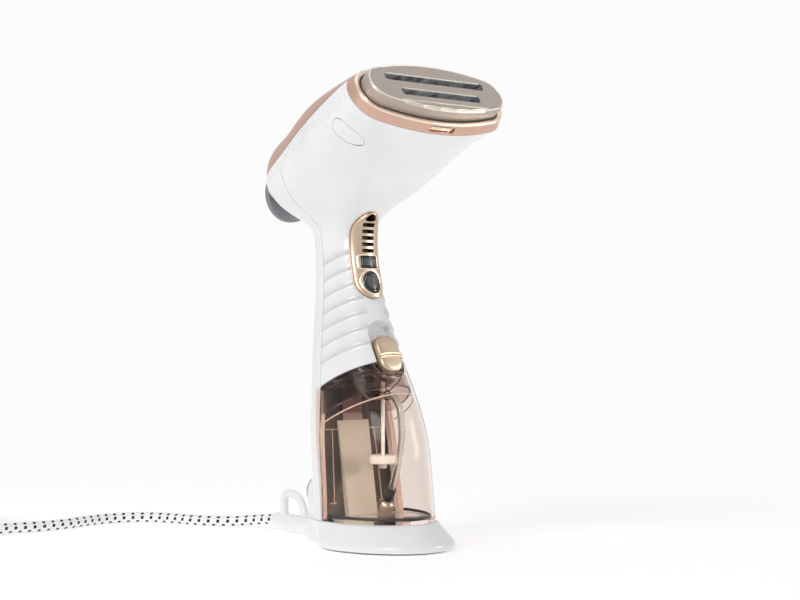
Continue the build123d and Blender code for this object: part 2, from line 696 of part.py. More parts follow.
with BuildPart() as float_stem:
    add(upright(STEM_X, 3.0, FLOAT_Z - 6.0, STEM_R, 62.2))
    add(upright(STEM_X, 3.0, FLOAT_Z - 6.0, 2.6, 2.6))
save(float_stem, "float_stem")

with BuildPart() as level_float:
    add(upright(STEM_X, 3.0, FLOAT_Z - 3.0, FLOAT_R, 6.0))
    fillet(edges().filter_by(GeomType.CIRCLE), 1.0)
    add(upright(STEM_X, 3.0, FLOAT_Z - 10.0, STEM_R + 0.1, 30.0), mode=Mode.SUBTRACT)
save(level_float, "level_float")

with BuildPart() as tank_latch:
    add(latch_block(0, LATCH_LOW, LATCH_HIGH, -1.0, POCKET_DEPTH - GAP))
    with BuildSketch(Plane.YZ):
        with Locations((latch_front(131.0) - 1.0, 131.0)):
            Circle(1.5)
    extrude(amount=LATCH_HALF - 0.6, both=True)
save(tank_latch, "tank_latch")

# ---- foot and cord entry ----
with BuildPart() as foot:
    with BuildSketch(Plane.XY.offset(PAD_T)):
        with Locations((0, FOOT_MID)):
            Ellipse(FOOT_HALF, FOOT_LONG)
    extrude(amount=3.6)
    with BuildSketch(Plane.XY.offset(PAD_T + 3.6)):
        with Locations((0, FOOT_MID)):
            Ellipse(FOOT_HALF, FOOT_LONG)
    with BuildSketch(Plane.XY.offset(FOOT_TOP)):
        with Locations((0, 5.0)):
            Ellipse(38.3, 51.6)
    loft()
    with BuildSketch(Plane.XY.offset(PAD_T)):
        with Locations((0, 55.0)):
            RectangleRounded(34.0, 40.0, 14.0)
    extrude(amount=FOOT_TOP - PAD_T, taper=6)
    with BuildSketch(lean_plane(50.0, GLAND_Z)):
        Circle(7.6)
    extrude(amount=-(GLAND_ROOT - 50.0))
    with BuildSketch(Plane.XY.offset(PAD_T)):
        with Locations((0, -12.0)):
            Ellipse(28.0, 34.0)
    extrude(amount=8.0, mode=Mode.SUBTRACT)
    add(disc(LEAD_Y - 4.0, GLAND_Z, 4.0, 60.0), mode=Mode.SUBTRACT)
    add(upright(0, LEAD_Y, GLAND_Z - 4.0, 4.0, 30.0), mode=Mode.SUBTRACT)
    for x, y in SCREWS:
        add(upright(x, y, 0, 3.2, 5.0), mode=Mode.SUBTRACT)
        add(upright(x, y, 0, 1.6, 15.0), mode=Mode.SUBTRACT)
save(foot, "foot")

with BuildPart() as foot_pad:
    with BuildSketch(Plane.XY):
        with Locations((0, FOOT_MID)):
            Ellipse(FOOT_HALF - 3, FOOT_LONG - 3)
        for x, y in SCREWS:
            with Locations((x, y)):
                Circle(3.2, mode=Mode.SUBTRACT)
    extrude(amount=PAD_T - 0.02)
save(foot_pad, "foot_pad")

with BuildPart() as ballast_plate:
    with BuildSketch(Plane.XY.offset(PAD_T + 1.0)):
        with Locations((0, -12.0)):
            Ellipse(27.5, 33.5)
    extrude(amount=6.0)
save(ballast_plate, "ballast_plate")

with BuildPart() as foot_screws:
    for x, y in SCREWS:
        add(upright(x, y, 2.6, 2.9, 2.2))
        add(upright(x, y, 2.6, 1.5, 12.0))
save(foot_screws, "foot_screws")

with BuildPart() as cord_gland:
    with BuildSketch(Plane(origin=(0, GLAND_ROOT + JOIN, GLAND_Z), x_dir=(1, 0, 0), z_dir=(0, 1, 0))):
        Circle(GLAND_R0)
    with BuildSketch(Plane(origin=(0, GLAND_TIP, GLAND_Z - 0.8), x_dir=(1, 0, 0), z_dir=(0, 1, 0))):
        Circle(GLAND_R1)
    loft()
    with BuildSketch(Plane.YZ):
        with BuildLine():
            Spline((79.5, 11), (84.5, 23), (95, 30.4), (104, 31.5))
            ThreePointArc((104, 31.5), (109.6, 29.2), (112, 23.5))
            Polyline((112, 23.5), (112, 9), (79.5, 9), (79.5, 11))
        make_face()
        with BuildLine():
            Spline((86.5, 15.5), (89.5, 20.5), (96, 25.2), (102, 26.3))
            ThreePointArc((102, 26.3), (105.2, 25), (106.5, 22))
            Polyline((106.5, 22), (106.5, 13.5), (86.5, 13.5), (86.5, 15.5))
        make_face(mode=Mode.SUBTRACT)
    extrude(amount=HOOK_HALF, both=True)
save(cord_gland, "cord_gland")

bent_tube(
    [(0, GLAND_ROOT - 0.1, GLAND_Z), (0, LEAD_Y, GLAND_Z), (0, LEAD_Y, 118.0)], [9.0], 3.0, 0.6, "inner_lead"
)

with BuildPart() as terminal_block:
    with BuildSketch(Plane.XY.offset(118.0 + JOIN)):
        with Locations((0, LEAD_Y + 2.0)):
            RectangleRounded(16.0, 10.0, 1.0)
    extrude(amount=12.0)
save(terminal_block, "terminal_block")


# ---- free cord ----
def corner_radii(points):
    """As large an arc at each corner as its two runs allow."""
    radii = []
    for before, here, after in zip(points, points[1:], points[2:]):
        arriving, leaving = Vector(*here) - Vector(*before), Vector(*after) - Vector(*here)
        turn = radians(arriving.get_angle(leaving))
        radii.append(0.45 * min(arriving.length, leaving.length) / tan(turn / 2))
    return radii


def cord_run(points, name):
    """One round length of the lead."""
    radii = corner_radii(points)
    with BuildPart() as tube:
        with BuildLine() as line:
            FilletPolyline(*points, radius=radii)
        path = line.wire()
        with BuildSketch(Plane(origin=path @ 0, z_dir=path % 0)):
            Circle(CORD_D / 2)
        sweep()
    expected = pi * (CORD_D / 2) ** 2 * path.length
    print(name, "length", round(path.length, 1), "tightest arc", round(min(radii), 1),
          "volume share", round(tube.part.volume / expected, 4))
    save(tube, name)


cord_run(CORD, "cord_tube")
cord_run(TAIL, "cord_tail")

with BuildPart() as cord_coil:
    with BuildSketch(Plane.XY.offset(COIL_LOW)):
        with Locations((COIL_X, COIL_Y)):
            Circle(COIL_R + COIL_HALF)
            Circle(COIL_R - COIL_HALF, mode=Mode.SUBTRACT)
    extrude(amount=COIL_TOP - COIL_LOW)
    fillet(edges().filter_by(GeomType.CIRCLE), 3.2)
save(cord_coil, "cord_coil")

with BuildPart() as cord_tie:
    with BuildSketch(Plane(origin=(COIL_X + COIL_R, COIL_Y, 0), x_dir=(1, 0, 0), z_dir=(0, -1, 0))):
        with Locations((0, (COIL_LOW + COIL_TOP) / 2)):
            RectangleRounded(2 * COIL_HALF + 2.2, COIL_TOP - COIL_LOW + 2.2, 3.0)
            RectangleRounded(2 * COIL_HALF + 0.6, COIL_TOP - COIL_LOW + 0.6, 2.4, mode=Mode.SUBTRACT)
    extrude(amount=4.0, both=True)
save(cord_tie, "cord_tie")

with BuildPart() as plug_body:
    with BuildSketch(Plane(origin=(PLUG_X + 25.0, PLUG_Y, PLUG_Z), x_dir=(0, 1, 0), z_dir=(1, 0, 0))):
        RectangleRounded(24.0, 20.0, 8.0)
    with BuildSketch(Plane(origin=(PLUG_X + 38.0, PLUG_Y, PLUG_Z), x_dir=(0, 1, 0), z_dir=(1, 0, 0))):
        RectangleRounded(34.0, 26.0, 11.0)
    with BuildSketch(Plane(origin=(PLUG_X + 59.0, PLUG_Y, PLUG_Z), x_dir=(0, 1, 0), z_dir=(1, 0, 0))):
        RectangleRounded(35.0, 26.0, 11.0)
    loft()
save(plug_body, "plug_body")

with BuildPart() as plug_relief:
    with BuildSketch(Plane(origin=(PLUG_X + JOIN, PLUG_Y, PLUG_Z), x_dir=(0, 1, 0), z_dir=(1, 0, 0))):
        Circle(4.6)
    with BuildSketch(Plane(origin=(PLUG_X + 25.0 - JOIN, PLUG_Y, PLUG_Z), x_dir=(0, 1, 0), z_dir=(1, 0, 0))):
        Circle(6.5)
    loft()
save(plug_relief, "plug_relief")

with BuildPart() as plug_pins:
    with BuildSketch(Plane(origin=(PLUG_X + 59.0 + JOIN, PLUG_Y, PLUG_Z), x_dir=(0, 1, 0), z_dir=(1, 0, 0))):
        with Locations((-9.5, 0), (9.5, 0)):
            Circle(2.4)
    extrude(amount=18.0)
    fillet(faces().sort_by(Axis.X)[-2:].edges(), 1.4)
save(plug_pins, "plug_pins")
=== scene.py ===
"""Handheld garment steamer: the looks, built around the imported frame.

Lengths are in millimetres up to the moment a mesh is made. +Z is up, the steam face looks towards -Y and up.
"""
from math import cos, pi, radians, sin

import bmesh
import bpy
import numpy as np
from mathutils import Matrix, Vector


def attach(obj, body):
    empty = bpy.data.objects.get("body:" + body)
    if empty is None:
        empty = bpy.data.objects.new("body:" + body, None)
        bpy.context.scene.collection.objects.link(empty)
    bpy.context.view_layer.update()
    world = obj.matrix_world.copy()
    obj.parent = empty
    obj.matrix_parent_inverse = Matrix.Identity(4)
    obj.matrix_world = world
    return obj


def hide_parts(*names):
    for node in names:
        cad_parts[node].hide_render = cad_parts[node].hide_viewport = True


MM = 0.001
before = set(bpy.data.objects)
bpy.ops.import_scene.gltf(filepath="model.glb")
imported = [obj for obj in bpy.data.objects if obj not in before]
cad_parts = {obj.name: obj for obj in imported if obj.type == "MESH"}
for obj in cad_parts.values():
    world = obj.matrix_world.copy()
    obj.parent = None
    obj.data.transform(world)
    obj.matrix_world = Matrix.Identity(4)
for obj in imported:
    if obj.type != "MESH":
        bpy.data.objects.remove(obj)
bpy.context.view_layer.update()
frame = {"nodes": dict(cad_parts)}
scene = bpy.context.scene

# ---- sizes shared with the CAD, mm ----
FACE_Y, FACE_Z, FACE_Q, TILT = -61.0, 305.7, -1.5, radians(35.0)
PLATE = (57.5, 19.5, 13.5)
MOUTH = (64.0, 26.4, 20.0)
BEZEL_BACK, WINDOW_DEPTH = 16.0, 12.5
SLOTS = ((3.75, 43.0), (-8.0, 34.0))
SLOT_TALL = 5.7
HANDLE = np.array([
    (18.0, 37.0, 50.0, 6.0), (44.0, 36.0, 47.5, 6.4), (72.0, 35.0, 46.8, 9.6),
    (99.0, 31.5, 42.9, 15.0), (133.0, 26.7, 34.0, 24.0), (167.0, 21.4, 27.0, 31.0),
    (205.0, 19.3, 23.2, 35.6), (222.0, 21.5, 26.0, 36.6), (238.0, 29.0, 34.0, 38.5),
])
HEAD = [
    (1.0, 314.5, -38.0, 257.0, 60.5, 25.0), (32.0, 304.5, -10.0, 238.5, 57.0, 32.0),
    (59.0, 292.0, 18.0, 224.0, 51.0, 33.0), (82.0, 279.0, 58.0, 219.0, 41.5, 27.0),
    (93.0, 265.0, 86.0, 231.0, 24.5, 13.5),
]
REAR_Y = 97.5
WALL = 2.4
FOOT_TOP = 18.0
SEAM_Y, SEAM_RISE = 15.0, 0.118
PART_Z, PART_SLOPE = 100.5, 0.47
SEAM = ((0, SEAM_Y, FOOT_TOP), (0, 1.0, -SEAM_RISE))
PARTING = ((0, 40.0, PART_Z), (0, PART_SLOPE, 1.0))
COVER_LEAN = radians(26.5)
COVER = ((0, -38.7, 306.0), (0, sin(COVER_LEAN), cos(COVER_LEAN)))
CORD_D = 7.5

# ---- camera ----
CAM_AZ, CAM_FAR, CAM_SIDE, CAM_UP, CAM_PITCH = -40.3, 1149.0, 15.0, 149.0, 0.881
away = Vector((sin(radians(CAM_AZ)), -cos(radians(CAM_AZ)), 0))
right = Vector((cos(radians(CAM_AZ)), sin(radians(CAM_AZ)), 0))
camera = bpy.data.objects.new("camera", bpy.data.cameras.new("camera"))
scene.collection.objects.link(camera)
camera.location = (away * CAM_FAR + right * CAM_SIDE + Vector((0, 0, CAM_UP))) * MM
aim = -away * cos(radians(CAM_PITCH)) + Vector((0, 0, sin(radians(CAM_PITCH))))
camera.rotation_euler = aim.to_track_quat("-Z", "Y").to_euler()
camera.data.sensor_width = 36.0
camera.data.lens = 76.05
scene.camera = camera


# ---- materials ----
def colour(hexa):
    """Linear RGBA of a display colour such as "c9a08c"."""
    parts = [int(hexa[i:i + 2], 16) / 255 for i in (0, 2, 4)]
    return tuple(c / 12.92 if c <= 0.04045 else ((c + 0.055) / 1.055) ** 2.4 for c in parts) + (1.0,)


class Shade:
    """A Principled material with small helpers for the nodes that feed it."""

    def __init__(self, name, base, rough, metal=0.0, **more):
        self.material = bpy.data.materials.new(name)
        self.material.use_nodes = True
        self.tree = self.material.node_tree
        self.shader = self.tree.nodes["Principled BSDF"]
        self.shader.inputs["Base Color"].default_value = colour(base)
        self.shader.inputs["Roughness"].default_value = rough
        self.shader.inputs["Metallic"].default_value = metal
        for key, value in more.items():
            self.shader.inputs[key.replace("_", " ")].default_value = value
        self.place = self.tree.nodes.new("ShaderNodeTexCoord").outputs["Object"]
        self.height = None

    def node(self, kind, **settings):
        made = self.tree.nodes.new(kind)
        for key, value in settings.items():
            setattr(made, key, value)
        return made

    def link(self, a, b):
        self.tree.links.new(a, b)

    def math(self, kind, *values):
        """Result of a maths node fed with numbers or with other nodes' outputs."""
        made = self.node("ShaderNodeMath", operation=kind)
        for socket, value in zip(made.inputs, values):
            if isinstance(value, (int, float)):
                socket.default_value = value
            else:
                self.link(value, socket)
        return made.outputs["Value"]

    def blend(self, share, first, second):
        """Base colour that goes from the first to the second by the share."""
        mix = self.node("ShaderNodeMix", data_type="RGBA")
        self.link(share, mix.inputs["Factor"])
        for socket, value in ((mix.inputs[6], first), (mix.inputs[7], second)):
            if isinstance(value, str):
                socket.default_value = colour(value)
            else:
                self.link(value, socket)
        self.link(mix.outputs[2], self.shader.inputs["Base Color"])

    def noise(self, scale, detail=3.0, stretch=(1, 1, 1)):
        mapping = self.node("ShaderNodeMapping")
        mapping.inputs["Scale"].default_value = stretch
        self.link(self.place, mapping.inputs["Vector"])
        texture = self.node("ShaderNodeTexNoise")
        texture.inputs["Scale"].default_value = scale
        texture.inputs["Detail"].default_value = detail
        self.link(mapping.outputs["Vector"], texture.inputs["Vector"])
        return texture.outputs["Fac"]

    def ramp(self, source, stops):
        ramp = self.node("ShaderNodeValToRGB")
        elements = ramp.color_ramp.elements
        while len(elements) < len(stops):
            elements.new(0.5)
        for element, (at, value) in zip(elements, stops):
            element.position = at
            element.color = colour(value)
        self.link(source, ramp.inputs["Fac"])
        return ramp.outputs["Color"]

    def tint(self, source, stops):
        self.link(self.ramp(source, stops), self.shader.inputs["Base Color"])
        return self

    def gloss(self, source, low, high):
        spread = self.node("ShaderNodeMapRange")
        spread.inputs["To Min"].default_value = low
        spread.inputs["To Max"].default_value = high
        self.link(source, spread.inputs["Value"])
        self.link(spread.outputs["Result"], self.shader.inputs["Roughness"])
        return self

    def bump(self, source, strength, distance=0.0001):
        bump = self.node("ShaderNodeBump")
        bump.inputs["Strength"].default_value = strength
        bump.inputs["Distance"].default_value = distance
        self.link(source, bump.inputs["Height"])
        if self.height is not None:
            self.link(self.height, bump.inputs["Normal"])
        self.height = bump.outputs["Normal"]
        self.link(self.height, self.shader.inputs["Normal"])
        return self


def moulded(name, base, second, rough, grain=0.04, **more):
    """Injection-moulded plastic: faint mottling, fine orange peel."""
    shade = Shade(name, base, rough, **more)
    shade.tint(shade.noise(35.0), [(0.3, base), (0.7, second)])
    shade.gloss(shade.noise(260.0), rough * 0.85, rough * 1.15)
    return shade.bump(shade.noise(1500.0, 2.0), grain)


def lacquer(name, dark, light, rough, **more):
    """Metallic lacquer with fine flake."""
    shade = Shade(name, light, rough, metal=1.0, **more)
    shade.tint(shade.noise(4200.0, 2.0), [(0.25, dark), (0.75, light)])
    shade.gloss(shade.noise(180.0), rough * 0.88, rough * 1.12)
    return shade.bump(shade.noise(2600.0, 2.0), 0.03)


white = moulded("white_gloss", "f4f4f5", "eeeef0", 0.24, grain=0.025)
grip = moulded("white_grip", "f4f4f5", "eeeef0", 0.24, grain=0.025)


def grip_lines():
    """Faint shadow above each ridge line of the grip, fading upwards; lengths here are in metres."""
    split = grip.node("ShaderNodeSeparateXYZ")
    grip.link(grip.place, split.inputs["Vector"])
    step = grip.math
    height = step("MULTIPLY_ADD", split.outputs["Y"], PART_SLOPE, split.outputs["Z"])
    phase = step("DIVIDE", step("SUBTRACT", height, 0.1193 + 0.0155), 0.01193)
    near = step("POWER", step("SUBTRACT", 1.0, step("FRACT", phase)), 3.0)
    inside = step("MULTIPLY", step("GREATER_THAN", phase, 0.0), step("LESS_THAN", phase, 7.0))
    sides = step("GREATER_THAN", step("ABSOLUTE", split.outputs["X"]), 0.0075)
    shadow = step("MULTIPLY", step("MULTIPLY", near, inside), step("MULTIPLY", sides, 0.55))
    grip.blend(shadow, grip.shader.inputs["Base Color"].links[0].from_socket, "b4b4b8")


grip_lines()
rose = lacquer("rose_gold", "cba390", "dcb9aa", 0.36)
gold = lacquer("champagne", "b8a48d", "cbb7a1", 0.34)
# Painted highlight: a paler cream copy of the gold lacquer for the bezel's lip, the window clip and the
# button rims, where their edges catch the light.
lit_gold = lacquer("lit_gold_rim", "ecd3bd", "f6e4d2", 0.22)
# Painted highlight: a paler copy of the champagne lacquer for the latch's ridges.
lit_latch_gold = lacquer("lit_latch_ridge", "d8c4ab", "e6d5bf", 0.36)
# Painted shade: a darker copy of the champagne lacquer for the control panel's side wall.
shaded_gold = lacquer("shaded_panel_side", "a3826a", "b8967d", 0.36)
grey = moulded("dial_grey", "86888b", "7d7f82", 0.42)
black = moulded("black_gloss", "1c1d20", "26272b", 0.14)
# Painted reflection: lighter grey for the raised field of the buttons, standing in for the grey reflection on
# the dark caps.
reflection_field = moulded("button_reflection", "4a4b50", "55565b", 0.3)
dark = moulded("dark_rubber", "202022", "2a2a2c", 0.55, grain=0.2)
ivory = moulded("valve_white", "e9e7e1", "dddad2", 0.4)
tan = moulded("column_tan", "d2dcd3", "c9d2c8", 0.45)
# Painted shade: near-black brown for the plate that stands in for the shade inside the hollow spine, and for
# the dark upper line of the tank's cap.
shade_and_line_brown = moulded("shadow_and_line_brown", "1d130f", "170f0c", 0.5)
thread = moulded("frame_line", "d9c6b6", "d0bcab", 0.4)
blush = moulded("frame_blush", "e3cfc6", "dcc6bc", 0.35)
board = moulded("board_green", "1d5a32", "17472a", 0.4)
cast = Shade("cast_metal", "b8b8ba", 0.5, metal=1.0)
cast.tint(cast.noise(300.0), [(0.3, "9c9c9e"), (0.7, "c4c4c6")]).bump(cast.noise(700.0), 0.4, 0.0004)
steel = Shade("steel", "8f8d8a", 0.35, metal=1.0)
steel.tint(steel.noise(220.0), [(0.3, "807e7b"), (0.7, "a3a19e")]).bump(steel.noise(900.0), 0.2)
ball = Shade("filter_metal", "b3a596", 0.14, metal=1.0)
ball.gloss(ball.noise(400.0), 0.08, 0.2).bump(ball.noise(900.0), 0.08)
pin = Shade("pin_metal", "d8d4c8", 0.22, metal=1.0)
pin.gloss(pin.noise(300.0), 0.16, 0.3).bump(pin.noise(1200.0, stretch=(1, 8, 8)), 0.15)
mica = moulded("mica", "b59f72", "a08a5e", 0.35)

plate = Shade("steam_face", "b9aea5", 0.42, metal=0.7)
plate.tint(plate.noise(900.0, 4.0), [(0.3, "b3a89f"), (0.7, "bfb4ab")])
plate.gloss(plate.noise(700.0, 3.0), 0.4, 0.5)
plate.bump(plate.noise(1800.0, 3.0), 0.05)
# Painted highlight: cream for the thin tubes along the plate's rim and over the slots, where the edges catch
# the light.
edge_highlight = Shade("plate_edge_highlight", "f4eadc", 0.3, metal=0.2)
edge_highlight.gloss(edge_highlight.noise(500.0), 0.2, 0.32).bump(edge_highlight.noise(1500.0), 0.05)
slot_metal = Shade("slot_wall", "8d9299", 0.35, metal=0.2)
slot_metal.tint(slot_metal.noise(150.0, 2.0), [(0.35, "5f656d"), (0.65, "b4b9be")])
slot_metal.bump(slot_metal.noise(1500.0), 0.06)


def see_through(name, tint, rough, index=1.3):
    """Clear plastic that lets the lamps through to what is behind it."""
    shade = Shade(name, tint, rough, IOR=index)
    shade.shader.inputs["Transmission Weight"].default_value = 1.0
    shade.bump(shade.noise(120.0, 2.0), 0.015)
    out = shade.tree.nodes["Material Output"]
    clear = shade.node("ShaderNodeBsdfTransparent")
    clear.inputs["Color"].default_value = colour(tint)
    mix = shade.node("ShaderNodeMixShader")
    path = shade.node("ShaderNodeLightPath")
    shade.link(path.outputs["Is Shadow Ray"], mix.inputs["Fac"])
    shade.link(shade.shader.outputs["BSDF"], mix.inputs[1])
    shade.link(clear.outputs["BSDF"], mix.inputs[2])
    shade.link(mix.outputs["Shader"], out.inputs["Surface"])
    return shade


smoke = see_through("smoke_tank", "f4ece7", 0.03, 1.16)
neck = moulded("column_neck", "a39799", "968a8c", 0.4)
cap_smoke = see_through("smoke_cap", "dccecb", 0.06, 1.2)
hose = see_through("clear_hose", "f2f1ee", 0.12, 1.35)
cloudy = moulded("float_white", "e6e2dc", "d9d4cc", 0.35)


def braid_shade():
    """White braid with rows of short black flecks; the UV is in millimetres along and turns around."""
    rows, pitch = 7.0, 7.5
    shade = Shade("cord_braid", "eeeeec", 0.75)
    uv = shade.node("ShaderNodeUVMap", uv_map="run")
    split = shade.node("ShaderNodeSeparateXYZ")
    shade.link(uv.outputs["UV"], split.inputs["Vector"])
    step = shade.math
    along, around = split.outputs["X"], split.outputs["Y"]
    row = step("MODULO", step("ADD", step("MULTIPLY", around, rows), 4.0), rows)
    shift = step("MULTIPLY", step("FLOOR", row), 0.5)
    cell_u = step("FRACT", step("ADD", step("DIVIDE", along, pitch), shift))
    cell_v = step("FRACT", row)
    lean = step("ADD", step("MULTIPLY", cell_v, 0.06), 0.47)
    near_u = step("LESS_THAN", step("ABSOLUTE", step("SUBTRACT", cell_u, lean)), 0.155)
    near_v = step("LESS_THAN", step("ABSOLUTE", step("SUBTRACT", cell_v, 0.5)), 0.34)
    shade.blend(step("MULTIPLY", near_u, near_v), "fbfbfa", "131314")
    wave, turned = step("MULTIPLY", along, 6.3), step("MULTIPLY", around, 75.4)
    one_way, other_way = step("SINE", step("ADD", wave, turned)), step("SINE", step("SUBTRACT", wave, turned))
    return shade.bump(step("MULTIPLY", one_way, other_way), 0.2, 0.0003)


braid = braid_shade()


# ---- mesh helpers ----
def add_mesh(name, points, faces, shade, smooth=True):
    """A new object from points in mm."""
    mesh = bpy.data.meshes.new(name)
    mesh.from_pydata((np.asarray(points, float) * MM).tolist(), [], [list(map(int, f)) for f in faces])
    mesh.validate()
    obj = bpy.data.objects.new(name, mesh)
    scene.collection.objects.link(obj)
    if shade is not None:
        mesh.materials.append(shade.material)
    tidy_normals(obj)
    if smooth:
        soft_shading(obj)
    return obj


def tidy_normals(obj):
    bm = bmesh.new()
    bm.from_mesh(obj.data)
    bmesh.ops.recalc_face_normals(bm, faces=bm.faces)
    bm.to_mesh(obj.data)
    bm.free()


def soft_shading(obj, angle=32.0):
    obj.data.shade_smooth()
    obj.data.set_sharp_from_angle(angle=radians(angle))


def tube_faces(rows, around, caps=True, loop=False):
    """Quads between rings of points that follow each other."""
    faces = []
    for i in range(rows if loop else rows - 1):
        j = (i + 1) % rows
        for k in range(around):
            m = (k + 1) % around
            faces.append((i * around + k, i * around + m, j * around + m, j * around + k))
    if caps and not loop:
        faces.append(tuple(range(around))[::-1])
        faces.append(tuple(range((rows - 1) * around, rows * around)))
    return faces


def skin(name, rings, shade, caps=True, loop=False, smooth=True):
    """A closed form through rings with the same number of points."""
    rings = np.asarray(rings, float)
    faces = tube_faces(len(rings), rings.shape[1], caps, loop)
    return add_mesh(name, rings.reshape(-1, 3), faces, shade, smooth)


def applied(obj):
    """Turns the object's modifiers into its mesh."""
    mesh = bpy.data.meshes.new_from_object(obj.evaluated_get(bpy.context.evaluated_depsgraph_get()))
    obj.modifiers.clear()
    obj.data = mesh
    return obj


def cut(obj, tool, how="DIFFERENCE"):
    """Boolean with another closed mesh, which goes."""
    modifier = obj.modifiers.new("cut", "BOOLEAN")
    modifier.operation = how
    modifier.solver = "MANIFOLD"
    modifier.object = tool
    applied(obj)
    bpy.data.objects.remove(tool)
    return obj


def copy_of(obj, name):
    twin = bpy.data.objects.new(name, obj.data.copy())
    scene.collection.objects.link(twin)
    return twin


def rounded(obj, width, angle=35.0):
    """Bevels the edges that are sharper than the angle."""
    modifier = obj.modifiers.new("edge", "BEVEL")
    modifier.width = width * MM
    modifier.segments = 2
    modifier.limit_method = "ANGLE"
    modifier.angle_limit = radians(angle)
    modifier.harden_normals = False
    applied(obj)
    soft_shading(obj)
    return obj


def half_space(point, normal, size=500.0):
    """Big block on the side of a plane that its normal points to."""
    n = Vector(normal).normalized()
    turn = n.to_track_quat("Z", "Y")
    square = ((-size, -size), (size, -size), (size, size), (-size, size))
    points = [tuple(Vector(point) + turn @ Vector((x, y, z))) for z in (0, size) for x, y in square]
    return add_mesh("half", points, tube_faces(2, 4), None, smooth=False)


def keep(obj, point, normal, offset=0.0):
    """Keeps what lies on the normal's side of a plane moved along the normal by the offset."""
    n = Vector(normal).normalized()
    return cut(obj, half_space(tuple(Vector(point) + n * offset), normal), "INTERSECT")


def flip(plane):
    return plane[0], tuple(-c for c in plane[1])


def paint(obj, shade):
    """Gives the whole piece one material."""
    obj.data.materials.clear()
    obj.data.materials.append(shade.material)
    obj.data.polygons.foreach_set("material_index", np.zeros(len(obj.data.polygons), int))
    return obj


def dress(obj, body, slot, *nodes):
    """Rides the piece on its body and hides the CAD nodes it stands for; the slot is not used."""
    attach(obj, body)
    if nodes:
        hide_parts(*nodes)
    return obj


def piece(name, rings, shade, body, slot, *nodes, closed=False):
    """A dressed form through rings; a closed one goes from its last ring back to its first."""
    return dress(skin(name, rings, shade, caps=not closed, loop=closed), body, slot, *nodes)


# ---- shapes ----
def turns(count):
    """Evenly spaced angles of a whole turn."""
    return np.linspace(0, 2 * pi, count, endpoint=False)


def points_at(x, y, z):
    """Rows of points from their coordinates; a single number holds for all of them."""
    return np.stack(np.broadcast_arrays(x, y, z), axis=1).astype(float)


def evenly(x, y, count):
    """Points at equal steps along a closed outline."""
    run = np.concatenate([[0], np.cumsum(np.hypot(np.diff(x), np.diff(y)))])
    at = np.linspace(0, run[-1], count, endpoint=False)
    return np.stack([np.interp(at, run, x), np.interp(at, run, y)], axis=1)


def arc_oval(half, rise, end, count):
    """Points of an oval made of four tangent arcs, evenly spaced."""
    big = (half**2 + rise**2 - 2 * half * end) / (2 * (rise - end))
    far, along = big - rise, half - end
    turn = np.linspace(0, 2 * pi, 4001)
    c, s = np.cos(turn), np.sin(turn)
    on_big = np.abs(s) * along > np.abs(c) * far
    x = np.where(on_big, big * c, np.sign(c) * along + end * c)
    y = np.where(on_big, big * s - np.sign(s) * far, end * s)
    return evenly(x, y, count)


def round_box(half_x, half_y, r, count=64):
    """Rounded rectangle, evenly spaced."""
    turn = np.linspace(0, 2 * pi, 2001)
    c, s = np.cos(turn), np.sin(turn)
    x = np.sign(c) * (half_x - r) + r * c
    y = np.sign(s) * (half_y - r) + r * s
    return evenly(x, y, count)


INTO_FACE = np.array([0, cos(TILT), -sin(TILT)])


def face_points(x, q, depth):
    """Points at x, q up the face and a depth behind it."""
    y, z = FACE_Y + depth * cos(TILT) + q * sin(TILT), FACE_Z - depth * sin(TILT) + q * cos(TILT)
    return points_at(x, y, z)


def on_face(points, depth):
    """An outline (x, up the face) carried to a depth behind the face."""
    return face_points(points[:, 0], points[:, 1], depth)


def cubic(xs, ys):
    """Natural cubic curve through the points, held constant outside them."""
    xs, ys = np.asarray(xs, float), np.asarray(ys, float)
    gap = np.diff(xs)
    size = len(xs)
    left, right_side = np.eye(size), np.zeros(size)
    for i in range(1, size - 1):
        left[i, i - 1:i + 2] = gap[i - 1], 2 * (gap[i - 1] + gap[i]), gap[i]
        right_side[i] = 6 * ((ys[i + 1] - ys[i]) / gap[i] - (ys[i] - ys[i - 1]) / gap[i - 1])
    bend = np.linalg.solve(left, right_side)

    def value(x):
        x = np.clip(x, xs[0], xs[-1])
        i = np.clip(np.searchsorted(xs, x) - 1, 0, size - 2)
        h, a, b = gap[i], xs[i + 1] - x, x - xs[i]
        return (bend[i] * a**3 + bend[i + 1] * b**3) / (6 * h) + (ys[i] / h - bend[i] * h / 6) * a + (
            ys[i + 1] / h - bend[i + 1] * h / 6) * b

    return value


handle_a, handle_b, handle_m = (cubic(HANDLE[:, 0], HANDLE[:, k]) for k in (1, 2, 3))


def handle_ring(z, inset=0.0, count=160):
    turn = turns(count)
    a, b = handle_a(z) - inset, handle_b(z) - inset
    return points_at(a * np.cos(turn), handle_m(z) + b * np.sin(turn), z)


def plane_height(p, plane):
    n = np.array(plane[1], float)
    n /= np.linalg.norm(n)
    return (p - np.array(plane[0], float)) @ n


def ease(x, low, high):
    t = np.clip((x - low) / (high - low), 0, 1)
    return t * t * (3 - 2 * t)


RIB_FIRST, RIB_STEP, RIB_COUNT, RIB_RISE = 14.0, 10.8, 7, 0.95


def grip_ribs(p):
    """Soft overlapping ridges on the sides of the grip, parallel to the tank's parting."""
    w = plane_height(p, PARTING)
    phase = (w - RIB_FIRST) / RIB_STEP
    inside = (phase > 0) & (phase < RIB_COUNT)
    saw = phase - np.floor(phase)
    rise = np.where(saw < 0.16, ease(saw, 0, 0.16), 1 - ease(saw, 0.16, 1.0))
    side = np.abs(p[:, 0]) / handle_a(p[:, 2])
    fade = ease(side, 0.28, 0.6) * ease(-plane_height(p, SEAM), 0.6, 3.0)
    return RIB_RISE * rise * fade * inside


def handle_distance(p):
    a, b, m = handle_a(p[:, 2]), handle_b(p[:, 2]), handle_m(p[:, 2])
    u, v = p[:, 0] / a, (p[:, 1] - m) / b
    s = np.maximum(np.hypot(u, v), 0.2)
    slope = np.hypot(u / (a * s), v / (b * s))
    return (s - 1) / np.maximum(slope, 1e-3)


